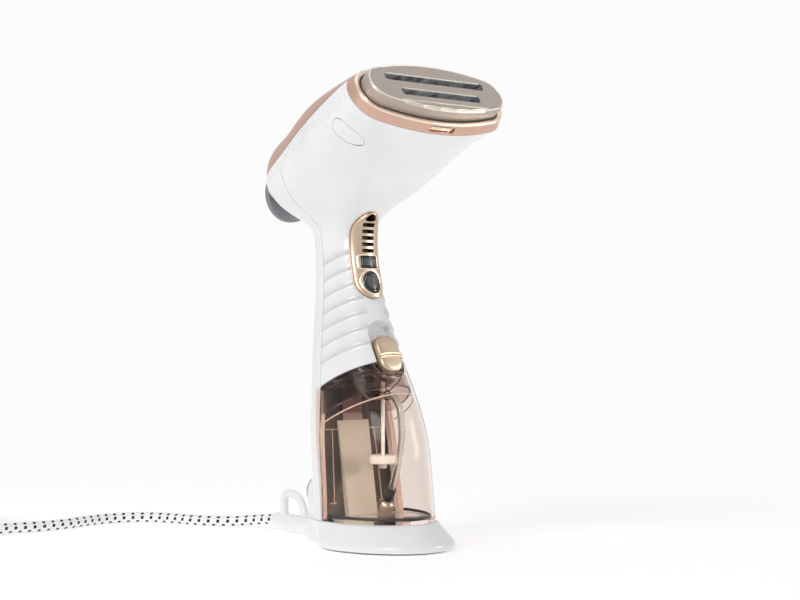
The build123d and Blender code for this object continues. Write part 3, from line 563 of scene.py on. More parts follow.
def head_frame():
    """Curves of the head's sections along its axis, and which section passes each point of the side view."""
    s, c = sin(TILT), cos(TILT)
    depth = BEZEL_BACK
    oy, oz = FACE_Y + depth * c + FACE_Q * s, FACE_Z - depth * s + FACE_Q * c
    rows = [(oy + MOUTH[1] * s, oz + MOUTH[1] * c, oy - MOUTH[1] * s, oz - MOUTH[1] * c, MOUTH[0], MOUTH[2])]
    rows += HEAD + [(REAR_Y, 261.0, REAR_Y, 234.0, 15.0, 11.0)]
    rows = np.array(rows)
    mid = (rows[:, 0:2] + rows[:, 2:4]) / 2
    t = np.concatenate([[0], np.cumsum(np.linalg.norm(np.diff(mid, axis=0), axis=1))])
    curves = [cubic(t, rows[:, k]) for k in range(6)]
    ts = np.linspace(0, t[-1], 400)
    top_y, top_z, low_y, low_z, half, end = (f(ts) for f in curves)
    rise = np.hypot(top_y - low_y, top_z - low_z) / 2
    uy, uz = (top_y - low_y) / (2 * rise), (top_z - low_z) / (2 * rise)
    my, mz = (top_y + low_y) / 2, (top_z + low_z) / 2
    ys, zs = np.arange(-110.0, 111.0, 1.0), np.arange(150.0, 346.0, 1.0)
    yy, zz = np.meshgrid(ys, zs, indexing="ij")
    behind = (yy[..., None] - my) * uz - (zz[..., None] - mz) * uy
    first = np.argmax(behind < 0, axis=-1)
    never = ~(behind < 0).any(axis=-1)
    first = np.clip(first, 1, len(ts) - 1)
    b0 = np.take_along_axis(behind, first[..., None] - 1, -1)[..., 0]
    b1 = np.take_along_axis(behind, first[..., None], -1)[..., 0]
    share = np.clip(b0 / np.where(np.abs(b0 - b1) < 1e-9, 1e-9, b0 - b1), 0, 1)
    table = ts[first - 1] + share * (ts[1] - ts[0])
    table[behind[..., 0] <= 0] = 0
    table[never] = ts[-1]
    return ts, (my, mz, uy, uz, half, rise, end), (ys, zs, table)


HEAD_T, HEAD_ROWS, HEAD_TABLE = head_frame()


def head_distance(p):
    ys, zs, table = HEAD_TABLE
    fy = np.clip((p[:, 1] - ys[0]), 0, len(ys) - 1.001)
    fz = np.clip((p[:, 2] - zs[0]), 0, len(zs) - 1.001)
    iy, iz = fy.astype(int), fz.astype(int)
    ry, rz = fy - iy, fz - iz
    t = (table[iy, iz] * (1 - ry) * (1 - rz) + table[iy + 1, iz] * ry * (1 - rz)
         + table[iy, iz + 1] * (1 - ry) * rz + table[iy + 1, iz + 1] * ry * rz)
    my, mz, uy, uz, half, rise, end = (np.interp(t, HEAD_T, row) for row in HEAD_ROWS)
    x = np.abs(p[:, 0])
    v = np.abs((p[:, 1] - my) * uy + (p[:, 2] - mz) * uz)
    big = (half**2 + rise**2 - 2 * half * end) / (2 * (rise - end))
    far, along = big - rise, half - end
    on_big = along * v > far * (x - along)
    side = np.where(on_big, np.hypot(x, v + far) - big, np.hypot(x - along, v) - end)
    front = -((p[:, 1] - FACE_Y) * cos(TILT) - (p[:, 2] - FACE_Z) * sin(TILT) - 10.0)
    return np.maximum(np.maximum(side, front), p[:, 1] - REAR_Y)


BLEND = 10.0


def body_distance(p):
    """Signed distance to the moulded body: handle and head with a soft blend between them."""
    return joined_distance(p, grip_ribs(p))


def plain_distance(p):
    """The body without its grip ridges."""
    return joined_distance(p, 0.0)


def joined_distance(p, ribs):
    a, b = np.maximum(handle_distance(p) - ribs, p[:, 2] - 246.0), head_distance(p)
    b = np.where(p[:, 2] < 190, 60.0, b)
    h = np.clip(0.5 + 0.5 * (b - a) / BLEND, 0, 1)
    both = b * (1 - h) + a * h - BLEND * h * (1 - h)
    return np.maximum(both, 10.0 - p[:, 2])


def slope_of(p, distance, step=0.05):
    grad = np.empty_like(p)
    for k in range(3):
        shift = np.zeros(3)
        shift[k] = step
        grad[:, k] = (distance(p + shift) - distance(p - shift)) / (2 * step)
    return grad


def settle(p, distance, rounds=3):
    """Moves points onto the surface where the distance is zero."""
    for _ in range(rounds):
        grad = slope_of(p, distance)
        square = np.maximum((grad**2).sum(axis=1), 0.2)
        p = p - grad * np.clip(distance(p) / square, -3, 3)[:, None]
    return p


# ---- moulded body ----
def body_mesh():
    """Closed meshes of the body's outside and of its hollow."""
    voxel = 1.2
    handle = skin("handle_form", [handle_ring(z) for z in np.linspace(10, 262, 127)], None, smooth=False)
    ts, (my, mz, uy, uz, half, rise, end) = HEAD_T, HEAD_ROWS
    rings = []
    for i in list(range(0, len(ts), 5)) + [len(ts) - 1]:
        flat = arc_oval(half[i], rise[i], end[i], 160)
        ring = points_at(flat[:, 0], my[i] + flat[:, 1] * uy[i], mz[i] + flat[:, 1] * uz[i])
        if i == 0:
            rings.append(ring - INTO_FACE * 5.0)
        rings.append(ring)
    head = skin("head_form", rings, None, smooth=False)
    whole = cut(handle, head, "UNION")
    remesh = whole.modifiers.new("remesh", "REMESH")
    remesh.mode = "VOXEL"
    remesh.voxel_size = voxel * MM
    applied(whole)
    mesh = whole.data
    p = np.empty(len(mesh.vertices) * 3)
    mesh.vertices.foreach_get("co", p)
    p = p.reshape(-1, 3) / MM
    edges = np.empty(len(mesh.edges) * 2, int)
    mesh.edges.foreach_get("vertices", edges)
    edges = edges.reshape(-1, 2)
    count = np.bincount(edges.ravel(), minlength=len(p))[:, None]
    for _ in range(3):
        total = np.stack([np.bincount(edges[:, 0], p[edges[:, 1], k], len(p))
                          + np.bincount(edges[:, 1], p[edges[:, 0], k], len(p)) for k in range(3)], axis=1)
        p = settle(0.4 * p + 0.6 * total / count, body_distance, 2)
    p = settle(p, body_distance, 3)
    normal = slope_of(p, body_distance)
    normal /= np.linalg.norm(normal, axis=1)[:, None]
    made = {}
    for name, inset in (("outer", 0.0), ("inner", WALL)):
        twin = copy_of(whole, name)
        twin.data.vertices.foreach_set("co", ((p - normal * inset) * MM).ravel())
        twin.data.update()
        made[name] = twin
    bpy.data.objects.remove(whole)
    return made


def prism(outline, to_row, near, far, name="prism"):
    """Closed block through an outline carried by to_row(points, depth)."""
    return skin(name, [to_row(outline, near), to_row(outline, far)], None, smooth=False)


def leaning(points, depth, y=-12.4, z=130.0, lean=radians(25)):
    """Outline coordinates on the leaning latch plane: x, and up the slope."""
    x, v = points[:, 0], points[:, 1]
    return points_at(x, y + v * sin(lean) + depth * cos(lean), z + v * cos(lean) - depth * sin(lean))


def sideways(side):
    """Outline coordinates of a release tab: along the depth of the head and up the face."""
    def place(points, depth):
        return face_points(side * (45.0 + depth), points[:, 1] + TAB_Q, points[:, 0] + TAB_DEPTH)
    return place


TAB_DEPTH, TAB_Q, TAB_HALF, TAB_RISE = 41.5, -9.0, 6.2, 8.2
LATCH_HALF, LATCH_LOW, LATCH_HIGH = 9.2, 118.5, 143.0
POCKET_LOW, POCKET_HIGH, POCKET_DEPTH = 117.7, 152.0, 7.0
LEAN = radians(25)


def latch_outline(grow, low, high):
    """Round-ended outline about the latch plane's origin."""
    mid, tall = (low + high) / 2, (high - low) / cos(LEAN) / 2 + grow
    points = round_box(LATCH_HALF + grow, tall, LATCH_HALF + grow - 1.2, 72)
    points[:, 1] += (mid - 130.0) / cos(LEAN)
    return points


forms = body_mesh()
RIB_LINES = ((2.4, 0.35), (5.6, 1.5), (8.8, 2.7), (12.0, 3.9))


def side_ridge(front_drop, rear_drop, side):
    """Line on the head's side, below the cover's edge by these drops at the bezel and at the rear end."""
    y0, z0 = COVER[0][1], COVER[0][2]
    along = np.array([cos(COVER_LEAN), -sin(COVER_LEAN)])
    down = np.array([-sin(COVER_LEAN), -cos(COVER_LEAN)])
    t = np.linspace(-12.0, 150.0, 220)
    drop = front_drop + (rear_drop - front_drop) * t / 140.0
    yz = np.array([y0, z0]) + t[:, None] * along + drop[:, None] * down
    low, high = np.zeros(len(t)), np.full(len(t), 80.0)
    for _ in range(30):
        middle = (low + high) / 2
        inside = plain_distance(np.column_stack([middle, yz])) < 0
        low, high = np.where(inside, middle, low), np.where(inside, high, middle)
    solid = low > 1.0
    reach = np.polynomial.Polynomial.fit(t[solid], low[solid], 9)(t)
    points = np.column_stack([reach * side, yz])
    front = (points[:, 1] - FACE_Y) * cos(TILT) - (points[:, 2] - FACE_Z) * sin(TILT)
    return points[(low > 1.0) & (front > BEZEL_BACK + 0.8) & (points[:, 1] < REAR_Y - 0.8)]


LINE = 0.22
pocket_block = prism(latch_outline(3.3, POCKET_LOW, POCKET_HIGH), leaning, -14.0, POCKET_DEPTH + 2.0)
hollow = cut(copy_of(forms["inner"], "hollow"), pocket_block)
shell = cut(copy_of(forms["outer"], "shell"), hollow)
shell = cut(shell, prism(latch_outline(1.3, POCKET_LOW, POCKET_HIGH), leaning, -14.0, POCKET_DEPTH))
face_normal = (0, -cos(TILT), sin(TILT))
mouth_point = (0, FACE_Y + (BEZEL_BACK + 0.25) * cos(TILT), FACE_Z - (BEZEL_BACK + 0.25) * sin(TILT))
shell = keep(shell, mouth_point, tuple(-c for c in face_normal))
shell = keep(shell, (0, 0, FOOT_TOP + 0.2), (0, 0, 1))

cover = keep(copy_of(shell, "head_cover_skin"), *COVER, LINE)
lower = keep(copy_of(shell, "lower"), *flip(COVER), LINE)
rear = keep(copy_of(lower, "spine_skin"), *SEAM, LINE)
front = keep(copy_of(lower, "front_skin"), *flip(SEAM), LINE)
front = keep(front, *PARTING, 0.4)
bpy.data.objects.remove(shell)
bpy.data.objects.remove(lower)

tabs = []
for side in (-1, 1):
    place = sideways(side)
    outline = round_box(TAB_HALF, TAB_RISE, TAB_HALF - 0.5)
    wider = round_box(TAB_HALF + 0.45, TAB_RISE + 0.45, TAB_HALF - 0.05)
    tab = copy_of(front, "release_tab_" + ("left" if side < 0 else "right"))
    cut(tab, prism(outline, place, -25, 25), "INTERSECT")
    cut(front, prism(wider, place, -25, 25))
    tabs.append((tab, "left" if side < 0 else "right"))

PANEL_TOP, PANEL_LOW, PANEL_HALF = 227.0, 167.5, 11.5


def panel_half_width(z):
    """Half width of the control panel's outline at a height."""
    t = np.clip((z - PANEL_LOW) / (PANEL_TOP - PANEL_LOW), 0, 1)
    low = np.sqrt(np.clip(1 - (1 - np.clip(t / 0.19, 0, 1)) ** 2, 0, 1))
    high = np.sqrt(np.clip(1 - (np.clip((t - 0.72) / 0.28, 0, 1)) ** 2.2, 0, 1))
    return PANEL_HALF * low * high


def panel_outline(grow, count=96):
    z = (PANEL_LOW + PANEL_TOP) / 2 - np.cos(np.linspace(0, pi, count // 2 + 1)) * (PANEL_TOP - PANEL_LOW) / 2
    w = panel_half_width(z)
    points = np.concatenate([np.stack([w, z], 1), np.stack([-w, z], 1)[-2:0:-1]])
    middle = np.array([0, (PANEL_LOW + PANEL_TOP) / 2])
    way = points - middle
    return middle + way * (1 + grow / np.maximum(np.hypot(way[:, 0], way[:, 1]), 1)[:, None])


def facing(points, depth, y=-20.0):
    """Outline coordinates (x, z) carried straight back from y."""
    return points_at(points[:, 0], y + depth, points[:, 1])


cut(front, prism(panel_outline(-1.2), facing, -20, 50))
for name in ("outer", "inner"):
    bpy.data.objects.remove(forms[name])

for obj, shade, slot, node, body in ((cover, rose, "rose_gold", "head_cover", "housing"),
                                     (rear, white, "white_gloss", "spine_shell", "housing"),
                                     (front, grip, "white_gloss", "front_shell", "housing")):
    soft_shading(paint(obj, shade))
    dress(obj, body, slot, node)
for obj, side in tabs:
    soft_shading(paint(obj, white))
    dress(obj, side + "_tab", "white_gloss", side + "_release_tab")


def tube_along(path, radius, count=24):
    """Rings round a path of points; radius is a number or one per point."""
    path = np.asarray(path, float)
    way = np.gradient(path, axis=0)
    way /= np.linalg.norm(way, axis=1)[:, None]
    radius = np.broadcast_to(radius, len(path))
    side = np.cross(way[0], [0, 0, 1.0]) if abs(way[0][2]) < 0.9 else np.cross(way[0], [1.0, 0, 0])
    turn = turns(count)
    rings = []
    for here, w, r in zip(path, way, radius):
        side = side - w * (side @ w)
        side /= np.linalg.norm(side)
        up = np.cross(side, w)
        rings.append(here + r * (np.cos(turn)[:, None] * side + np.sin(turn)[:, None] * up))
    return rings


for number, drop in enumerate(RIB_LINES):
    for side in (-1, 1):
        ridge_path = side_ridge(*drop, side)
        place = np.arange(len(ridge_path))
        taper = np.minimum(1, np.minimum(place + 0.6, len(ridge_path) - place - 0.4) / 4)
        sunk = ridge_path - np.array([side * 0.45, 0, 0])
        name = f"head_ridge_{number}_{'left' if side < 0 else 'right'}"
        piece(name, tube_along(sunk, 1.1 * taper, 20), white, "housing", "white_gloss")


# ---- steam face ----
def face_rings(profile, count=240):
    """Rings of the oval at (depth, half, rise, end)."""
    middle = np.array([0, FACE_Q])
    return [on_face(arc_oval(*oval, count) + middle, depth) for depth, *oval in profile]


def inset(base, amount):
    return tuple(v - amount for v in base)


LIP = 5.85
bezel = skin("bezel", face_rings([
    (16.0, *MOUTH), (13.0, *inset(MOUTH, 1.0)), (10.8, *inset(MOUTH, 1.7)), (9.6, *inset(MOUTH, 2.15)),
    (9.25, *inset(MOUTH, 2.5)), (9.3, *inset(MOUTH, LIP - 0.4)), (10.4, *inset(MOUTH, LIP)),
    (15.9, *inset(MOUTH, LIP)),
]), rose, caps=False, loop=True)
# Painted highlight: the bezel's inner lip in the cream gold.
piece("bezel_lip", face_rings([
    (9.7, *inset(MOUTH, 2.1)), (9.2, *inset(MOUTH, 2.2)), (8.8, *inset(MOUTH, 2.5)),
    (8.6, *inset(MOUTH, 3.0)), (8.62, *inset(MOUTH, 3.9)), (8.8, *inset(MOUTH, 4.7)),
    (9.3, *inset(MOUTH, LIP - 0.35)), (9.9, *inset(MOUTH, LIP - 0.05)),
    (10.6, *inset(MOUTH, LIP + 0.02)), (10.6, *inset(MOUTH, 3.5)), (9.9, *inset(MOUTH, 2.6)),
]), lit_gold, "housing", "rose_gold", closed=True)


def in_window(points, q):
    """An outline (x, depth from the window's middle) carried to a height q up the face."""
    return face_points(points[:, 0], FACE_Q + q, WINDOW_DEPTH + points[:, 1])


cut(bezel, prism(round_box(10.5, 2.1, 0.6), in_window, -32.0, -18.0))
soft_shading(bezel)
dress(bezel, "housing", "rose_gold", "face_bezel")
piece("gasket_skin", face_rings([
    (15.0, *inset(PLATE, -0.95)), (9.8, *inset(PLATE, -0.95)), (9.35, *inset(PLATE, -0.6)),
    (9.3, *inset(PLATE, 0.2)), (15.0, *inset(PLATE, 0.2)),
]), dark, "housing", "silicone", "plate_gasket", closed=True)
# Painted highlight: the window clip in the cream gold.
clip = prism(round_box(8.9, 1.45, 0.5) + np.array([-1.2, 0]), in_window, -24.7, -22.0)
dress(rounded(paint(clip, lit_gold), 0.3), "housing", "rose_gold")


def edge_line(x, q):
    """How far inside the plate's rim the flat face starts; waves along the lower edge."""
    wave = np.zeros_like(x)
    for k in range(-2, 3):
        wave = np.maximum(wave, np.sqrt(np.clip(1 - ((x - 14.0 * k) / 7.4) ** 2, 0, 1)))
    return 1.1 + 1.25 * wave * ease(-q, 8.0, 13.0)


def plate_drop(x, q, s):
    """Depth of the plate's front surface: rounded rim, waves along the lower edge, a raised middle."""
    start = edge_line(x, q)
    rim = np.where(s < start, 0.3 + 1.3 * (1 - s / start) ** 1.3, 0.0)
    middle = (1 - ease(np.abs(q + 2.5) - 11.0, -0.3, 0.3)) * (1 - ease(np.abs(x) - (46 + 0.6 * q), -0.4, 0.4))
    return np.maximum(rim, 0.4 * (1 - middle))


def plate_rings():
    rings = [on_face(arc_oval(*PLATE, 480) + np.array([0, FACE_Q]), d) for d in (9.6, 7.5, 5.0, 2.2)]
    for s in list(np.arange(0.06, 3.4, 0.2)) + list(np.arange(3.6, 12.9, 0.35)):
        flat = arc_oval(*inset(PLATE, s), 480) + np.array([0, FACE_Q])
        drop = plate_drop(flat[:, 0], flat[:, 1] - FACE_Q, np.full(len(flat), s))
        row = on_face(flat, 0)
        rings.append(row + drop[:, None] * INTO_FACE)
    return rings


def loop_tube(path, radius, count=18):
    """Rings round a closed path."""
    way = np.roll(path, -1, axis=0) - np.roll(path, 1, axis=0)
    way /= np.linalg.norm(way, axis=1)[:, None]
    side = np.cross(way, -INTO_FACE)
    side /= np.linalg.norm(side, axis=1)[:, None]
    across, out = np.cos(turns(count))[:, None], np.sin(turns(count))[:, None] * -INTO_FACE
    return [here + radius * (across * a + out) for here, a in zip(path, side)]


# Painted highlight: a cream tube along the edge of the plate's flat face.
outline = arc_oval(*PLATE, 480)
normal = np.roll(outline, 1, axis=0) - np.roll(outline, -1, axis=0)
normal = np.stack([normal[:, 1], -normal[:, 0]], axis=1) / np.linalg.norm(normal, axis=1)[:, None]
normal *= np.sign((normal * -outline).sum(axis=1))[:, None]
outline = outline + normal * edge_line(outline[:, 0], outline[:, 1])[:, None] + np.array([0, FACE_Q])
piece("plate_rim", loop_tube(on_face(outline, 0.5), 0.42), edge_highlight, "housing", "steam_face", closed=True)
steam_plate = skin("steam_plate_skin", plate_rings(), plate)
for q, half in SLOTS:
    outline = round_box(half, SLOT_TALL / 2, 1.2) + np.array([0, q])
    cut(steam_plate, prism(outline, on_face, -4, 5.5))
    for step in range(-4, 5):
        turn = turns(20)
        hole = np.stack([step * half / 5 + 1.5 * np.cos(turn), q + 1.5 * np.sin(turn)], axis=1)
        cut(steam_plate, prism(hole, on_face, 4, 7.1))
soft_shading(steam_plate)
dress(steam_plate, "housing", "steam_face", "steam_plate")
for number, (q, half) in enumerate(SLOTS):
    rings = []
    for out, depth in ((0.02, 0.5), (-0.05, 0.35), (-0.35, 1.0), (-0.4, 5.4), (0.02, 5.45)):
        outline = round_box(half + out, SLOT_TALL / 2 + out, 1.2 + out) + np.array([0, q])
        rings.append(on_face(outline, depth))
    piece(f"slot_wall_{number}", rings, slot_metal, "housing", "steam_face", closed=True)
    # Painted highlight: a cream bar along each slot's upper edge.
    edge = []
    for x in np.linspace(-half - 0.3, half + 0.3, 24):
        turn = turns(18)
        end = min(1.0, (half + 0.35 - abs(x)) / 0.6)
        bar = np.stack([np.full(18, x), q + SLOT_TALL / 2 + 0.35 + 0.55 * end * np.cos(turn)], axis=1)
        edge.append(on_face(bar, 0) + (0.45 - 0.5 * end * np.sin(turn))[:, None] * INTO_FACE)
    piece(f"slot_lip_{number}", edge, edge_highlight, "housing", "steam_face")

# ---- rear dial ----
DIAL_Z = 245.0
DIAL = ((97.8, 19.0), (97.8, 20.4), (98.3, 20.9), (102.0, 20.9), (102.9, 20.2), (103.2, 19.0),
        (103.0, 15.2), (102.4, 14.6), (102.3, 2.0))


def behind(points, y):
    """An outline (x, up from the dial's middle) carried to y."""
    return points_at(points[:, 0], y, DIAL_Z + points[:, 1])


circle = np.stack([np.cos(turns(120)), np.sin(turns(120))], axis=1)
dial = skin("dial_skin", [behind(r * circle, y) for y, r in DIAL], grey)
cut(dial, prism(round_box(12.0, 2.0, 1.6), behind, 101.0, 105.0), "UNION")
soft_shading(dial)
dress(dial, "dial", "dial_grey", "rear_dial")

# ---- control panel ----


def on_handle(x, z, proud):
    """Points on the body's front at x and z, moved out along the surface by proud."""
    y = handle_m(z) - handle_b(z) * np.sqrt(np.clip(1 - (x / handle_a(z)) ** 2, 0.02, 1))
    p = points_at(x, y, z)
    for _ in range(6):
        slope = (plain_distance(p + [0, 0.05, 0]) - plain_distance(p - [0, 0.05, 0])) / 0.1
        p[:, 1] -= np.clip(plain_distance(p) / np.where(np.abs(slope) < 0.15, -0.15, slope), -2, 2)
    grad = slope_of(p, plain_distance)
    grad /= np.linalg.norm(grad, axis=1)[:, None]
    return p + grad * np.asarray(proud)[:, None]


def raised(flat, proud):
    """An outline (x, z) carried to one height over the body's front."""
    return on_handle(flat[:, 0], flat[:, 1], np.full(len(flat), proud))


def strip_rings(proud):
    """Front or back of the panel as rows of points across it."""
    rows = []
    sweep = np.cos(np.linspace(0.02, pi - 0.02, 120))
    z_all = (PANEL_LOW + PANEL_TOP) / 2 - sweep * (PANEL_TOP - PANEL_LOW) / 2
    turn = np.linspace(-1, 1, 37)
    for z in z_all:
        w = float(panel_half_width(np.array([z]))[0])
        x = w * np.sin(turn * pi / 2)
        ends = min(z - PANEL_LOW, PANEL_TOP - z)
        edge = np.minimum(w - np.abs(x), ends)
        rise = np.where(edge < 1.5, np.sqrt(np.clip(1 - (1 - edge / 1.5) ** 2, 0, 1)), 1.0)
        rows.append((x, np.full(len(x), z), rise))
    x = np.concatenate([r[0] for r in rows])
    z = np.concatenate([r[1] for r in rows])
    rise = np.concatenate([r[2] for r in rows])
    top = on_handle(x, z, 0.2 + proud * rise)
    low = on_handle(x, z, np.full(len(x), -1.6))
    return top, low, len(z_all), len(turn)


def panel_skin():
    top, low, rows, across = strip_rings(1.9)
    points = np.concatenate([top, low])
    base = len(top)
    faces = []
    for i in range(rows - 1):
        for k in range(across - 1):
            a, b = i * across + k, (i + 1) * across + k
            faces.append((a, a + 1, b + 1, b))
            faces.append((base + a, base + b, base + b + 1, base + a + 1))
    for i in range(rows - 1):
        a, b = i * across, (i + 1) * across
        faces.append((a, b, base + b, base + a))
        a, b = a + across - 1, b + across - 1
        faces.append((a, base + a, base + b, b))
    for k in range(across - 1):
        faces.append((k, base + k, base + k + 1, k + 1))
        a = (rows - 1) * across + k
        faces.append((a, a + 1, base + a + 1, base + a))
    return add_mesh("panel", points, faces, gold)


BAR_HEIGHTS = (200.5, 204.9, 209.3, 213.7, 218.1)
POWER_Z, POWER_HALF, POWER_RISE = 192.5, 6.6, 4.2
STEAM_Z, STEAM_HALF, STEAM_RISE = 178.6, 6.6, 7.6


def oval_points(a, b, middle, count=72):
    turn = turns(count)
    return np.stack([a * np.cos(turn), middle + b * np.sin(turn)], axis=1)


def teardrop(count=60):
    """Rounded triangle of the top opening."""
    turn = turns(count)
    x, y = 4.6 * np.cos(turn), 3.6 * np.sin(turn)
    x = x * (1 - 0.4 * np.clip(y / 3.6, 0, 1))
    y = np.where(y < 0, y * 0.45, y)
    return np.stack([x, 222.0 + y], axis=1)


panel = panel_skin()
for z in BAR_HEIGHTS:
    cut(panel, prism(round_box(5.2, 1.35, 0.9, 40) + np.array([0, z]), facing, -20, 60))
cut(panel, prism(teardrop(), facing, -20, 60))
power_shape = round_box(POWER_HALF, POWER_RISE, 1.5) + np.array([0, POWER_Z])
steam_shape = oval_points(STEAM_HALF, STEAM_RISE, STEAM_Z)
power_hole = round_box(POWER_HALF + 0.4, POWER_RISE + 0.4, 1.8) + np.array([0, POWER_Z])
cut(panel, prism(power_hole, facing, -20, 60))
cut(panel, prism(oval_points(STEAM_HALF + 0.4, STEAM_RISE + 0.4, STEAM_Z), facing, -20, 60))
soft_shading(panel)
dress(panel, "housing", "champagne", "control_panel")
around = panel_outline(0.0, 160)
middle = np.array([0, (PANEL_TOP + PANEL_LOW) / 2])
way = around - middle
away_from = way / np.hypot(way[:, 0], way[:, 1])[:, None]
# Painted shade: the panel's side wall in the darker champagne.
side_rings = []
for out, proud in ((-0.35, -1.5), (0.18, -1.5), (0.22, 0.9), (0.05, 1.35), (-0.35, 1.35)):
    flat = around + away_from * out
    side_rings.append(raised(flat, proud))
piece("shaded_panel_side", side_rings, shaded_gold, "housing", "champagne", closed=True)


def rim(name, outline, middle, width, rise):
    """Raised rim round a button, in the cream gold of the painted highlight."""
    way = outline - middle
    size = np.hypot(way[:, 0], way[:, 1])[:, None]
    rings = []
    for out, proud in ((0.35, 1.2), (0.35, 2.0 + rise * 0.6), (0.35 + width * 0.3, 2.0 + rise),
                       (0.35 + width * 0.65, 2.0 + rise), (0.35 + width, 2.0 + rise * 0.5),
                       (0.35 + width, 1.2)):
        flat = middle + way * (1 + out / size)
        rings.append(raised(flat, proud))
    return dress(skin(name, rings, lit_gold, caps=False, loop=True), "housing", "champagne")


rim("power_rim", power_shape, np.array([0, POWER_Z]), 1.2, 0.35)
rim("steam_rim", steam_shape, np.array([0, STEAM_Z]), 1.3, 0.45)


def button(name, outline, middle, body, node, proud):
    """Domed glossy button with a shallow raised field in lighter grey, a painted reflection."""
    way = outline - middle
    rings = []
    for share, out in ((1.0, -5.4), (1.0, proud - 0.9), (0.97, proud - 0.35), (0.9, proud),
                       (0.78, proud + 0.12), (0.72, proud - 0.12), (0.66, proud - 0.12),
                       (0.62, proud + 0.05), (0.4, proud + 0.2), (0.15, proud + 0.25)):
        flat = middle + way * share
        rings.append(raised(flat, out))
    back = rings[0].copy()
    back[:, 1] = back[:, 1].max()
    rings[0] = back
    dress(skin(name, rings, black), body, "dark_plastic", node)
    inner = [raised(middle + way * share, proud + out)
             for share, out in ((0.6, -0.4), (0.6, 0.16), (0.55, 0.26), (0.3, 0.34), (0.05, 0.36))]
    return dress(skin(name + "_field", inner, reflection_field), body, "dark_plastic")


button("power_cap", power_shape, np.array([0, POWER_Z]), "power_key", "power_button", 2.0)
button("steam_cap", steam_shape, np.array([0, STEAM_Z]), "steam_key", "steam_button", 2.2)

# ---- latch ----
LATCH = ((0.0, 6.6), (0.0, 1.0), (-0.15, 0.2), (-0.6, -0.45), (-1.3, -0.85), (-2.6, -1.05), (-5.0, -1.15),
         (-8.0, -1.2))
latch_rings = [leaning(latch_outline(grow, LATCH_LOW, LATCH_HIGH), depth) for grow, depth in LATCH]
latch = skin("latch", latch_rings, gold)
dress(latch, "latch", "champagne", "tank_latch")
# Painted highlight: the latch's two ridges in the paler champagne.
for number, (v, thick) in enumerate(((0.2, 1.25), (-1.9, 0.95))):
    ridge_rings = []
    for x in np.linspace(-9.7, 9.7, 23):
        end = min(1.0, (9.85 - abs(x)) / 0.9) ** 0.5
        turn = turns(20)
        bar = np.stack([np.full(20, x), v - 0.012 * x * x + thick * end * np.cos(turn)], axis=1)
        depth = (-1.15 + 1.3 * thick * end * np.sin(turn))[:, None]
        ridge_rings.append(leaning(bar, 0) + depth * np.array([0, cos(LEAN), -sin(LEAN)]))
    piece(f"lit_latch_ridge_{number}", ridge_rings, lit_latch_gold, "latch", "champagne")

# ---- tank ----


def handle_form(name, low, high, shrink):
    return skin(name, [handle_ring(z, shrink) for z in np.arange(low, high + 0.1, 2.0)], None, smooth=False)


TANK_WALL, GAP = 2.0, 0.4
tank = handle_form("tank", 10, 150, 0.0)
tank = keep(tank, *flip(PARTING), 0.15)
tank = keep(tank, *flip(SEAM), GAP)
tank = keep(tank, (0, 0, FOOT_TOP + GAP), (0, 0, 1))
room = handle_form("room", 10, 160, TANK_WALL)
room = keep(room, *flip(SEAM), GAP + TANK_WALL)
room = keep(room, (0, 0, FOOT_TOP + GAP + TANK_WALL), (0, 0, 1))
cut(tank, room)
cut(tank, prism(latch_outline(3.4, POCKET_LOW, POCKET_HIGH), leaning, -14, 9.1))
rounded(paint(tank, smoke), 0.5, 40)
dress(tank, "tank", "smoke_tank", "tank_shell")


def seam_y(z):
    return SEAM_Y + SEAM_RISE * (z - FOOT_TOP)


def half_at(y, z, less):
    """Half width of the handle at a depth and height, less a wall."""
    return handle_a(z) * np.sqrt(np.clip(1 - ((y - handle_m(z)) / handle_b(z)) ** 2, 0, 1)) - less


def plate_between(name, rows, thick, shade, body="housing", slot="dark_plastic"):
    """Upright plate through rows of (left x, right x, front y, z)."""
    points, faces = [], []
    for left, right_x, y, z in rows:
        points += [(left, y, z), (right_x, y, z), (right_x, y + thick, z), (left, y + thick, z)]
    return dress(add_mesh(name, points, tube_faces(len(rows), 4), shade), body, slot)


# Painted shadow: a dark plate in the spine's gap stands in for the shade inside the hollow spine, seen
# through the tank.
shadow_rows = []
for z in np.linspace(18.6, 106.0, 24):
    y = seam_y(z) + 5.2
    half = float(half_at(y, z, 2.9))
    shadow_rows.append((-half, half, y, z))
plate_between("spine_shadow_plate", shadow_rows, 1.0, shade_and_line_brown)
column_rows = []
for z in np.linspace(18.6, 84.0, 12):
    t = (z - 18.6) / 65.4
    column_rows.append((-12.4 - 1.3 * t, 12.4 + 1.3 * t, seam_y(z) + 0.4 + 4.4 * t, z))
column = plate_between("column_skin", column_rows, 20.0, tan, slot="white_gloss")
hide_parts("spine_column")
neck_rows = [(-8.4, 8.4, seam_y(z) + 4.6, z) for z in (84.0, 95.0, 106.0)]
plate_between("column_neck", neck_rows, 12.0, neck, slot="white_gloss")
BACK_LINES = ((13.9, 78.0, 24.2, 78.2), (18.4, 78.0, 20.8, 28.5), (18.6, 28.4, 24.4, 28.6))
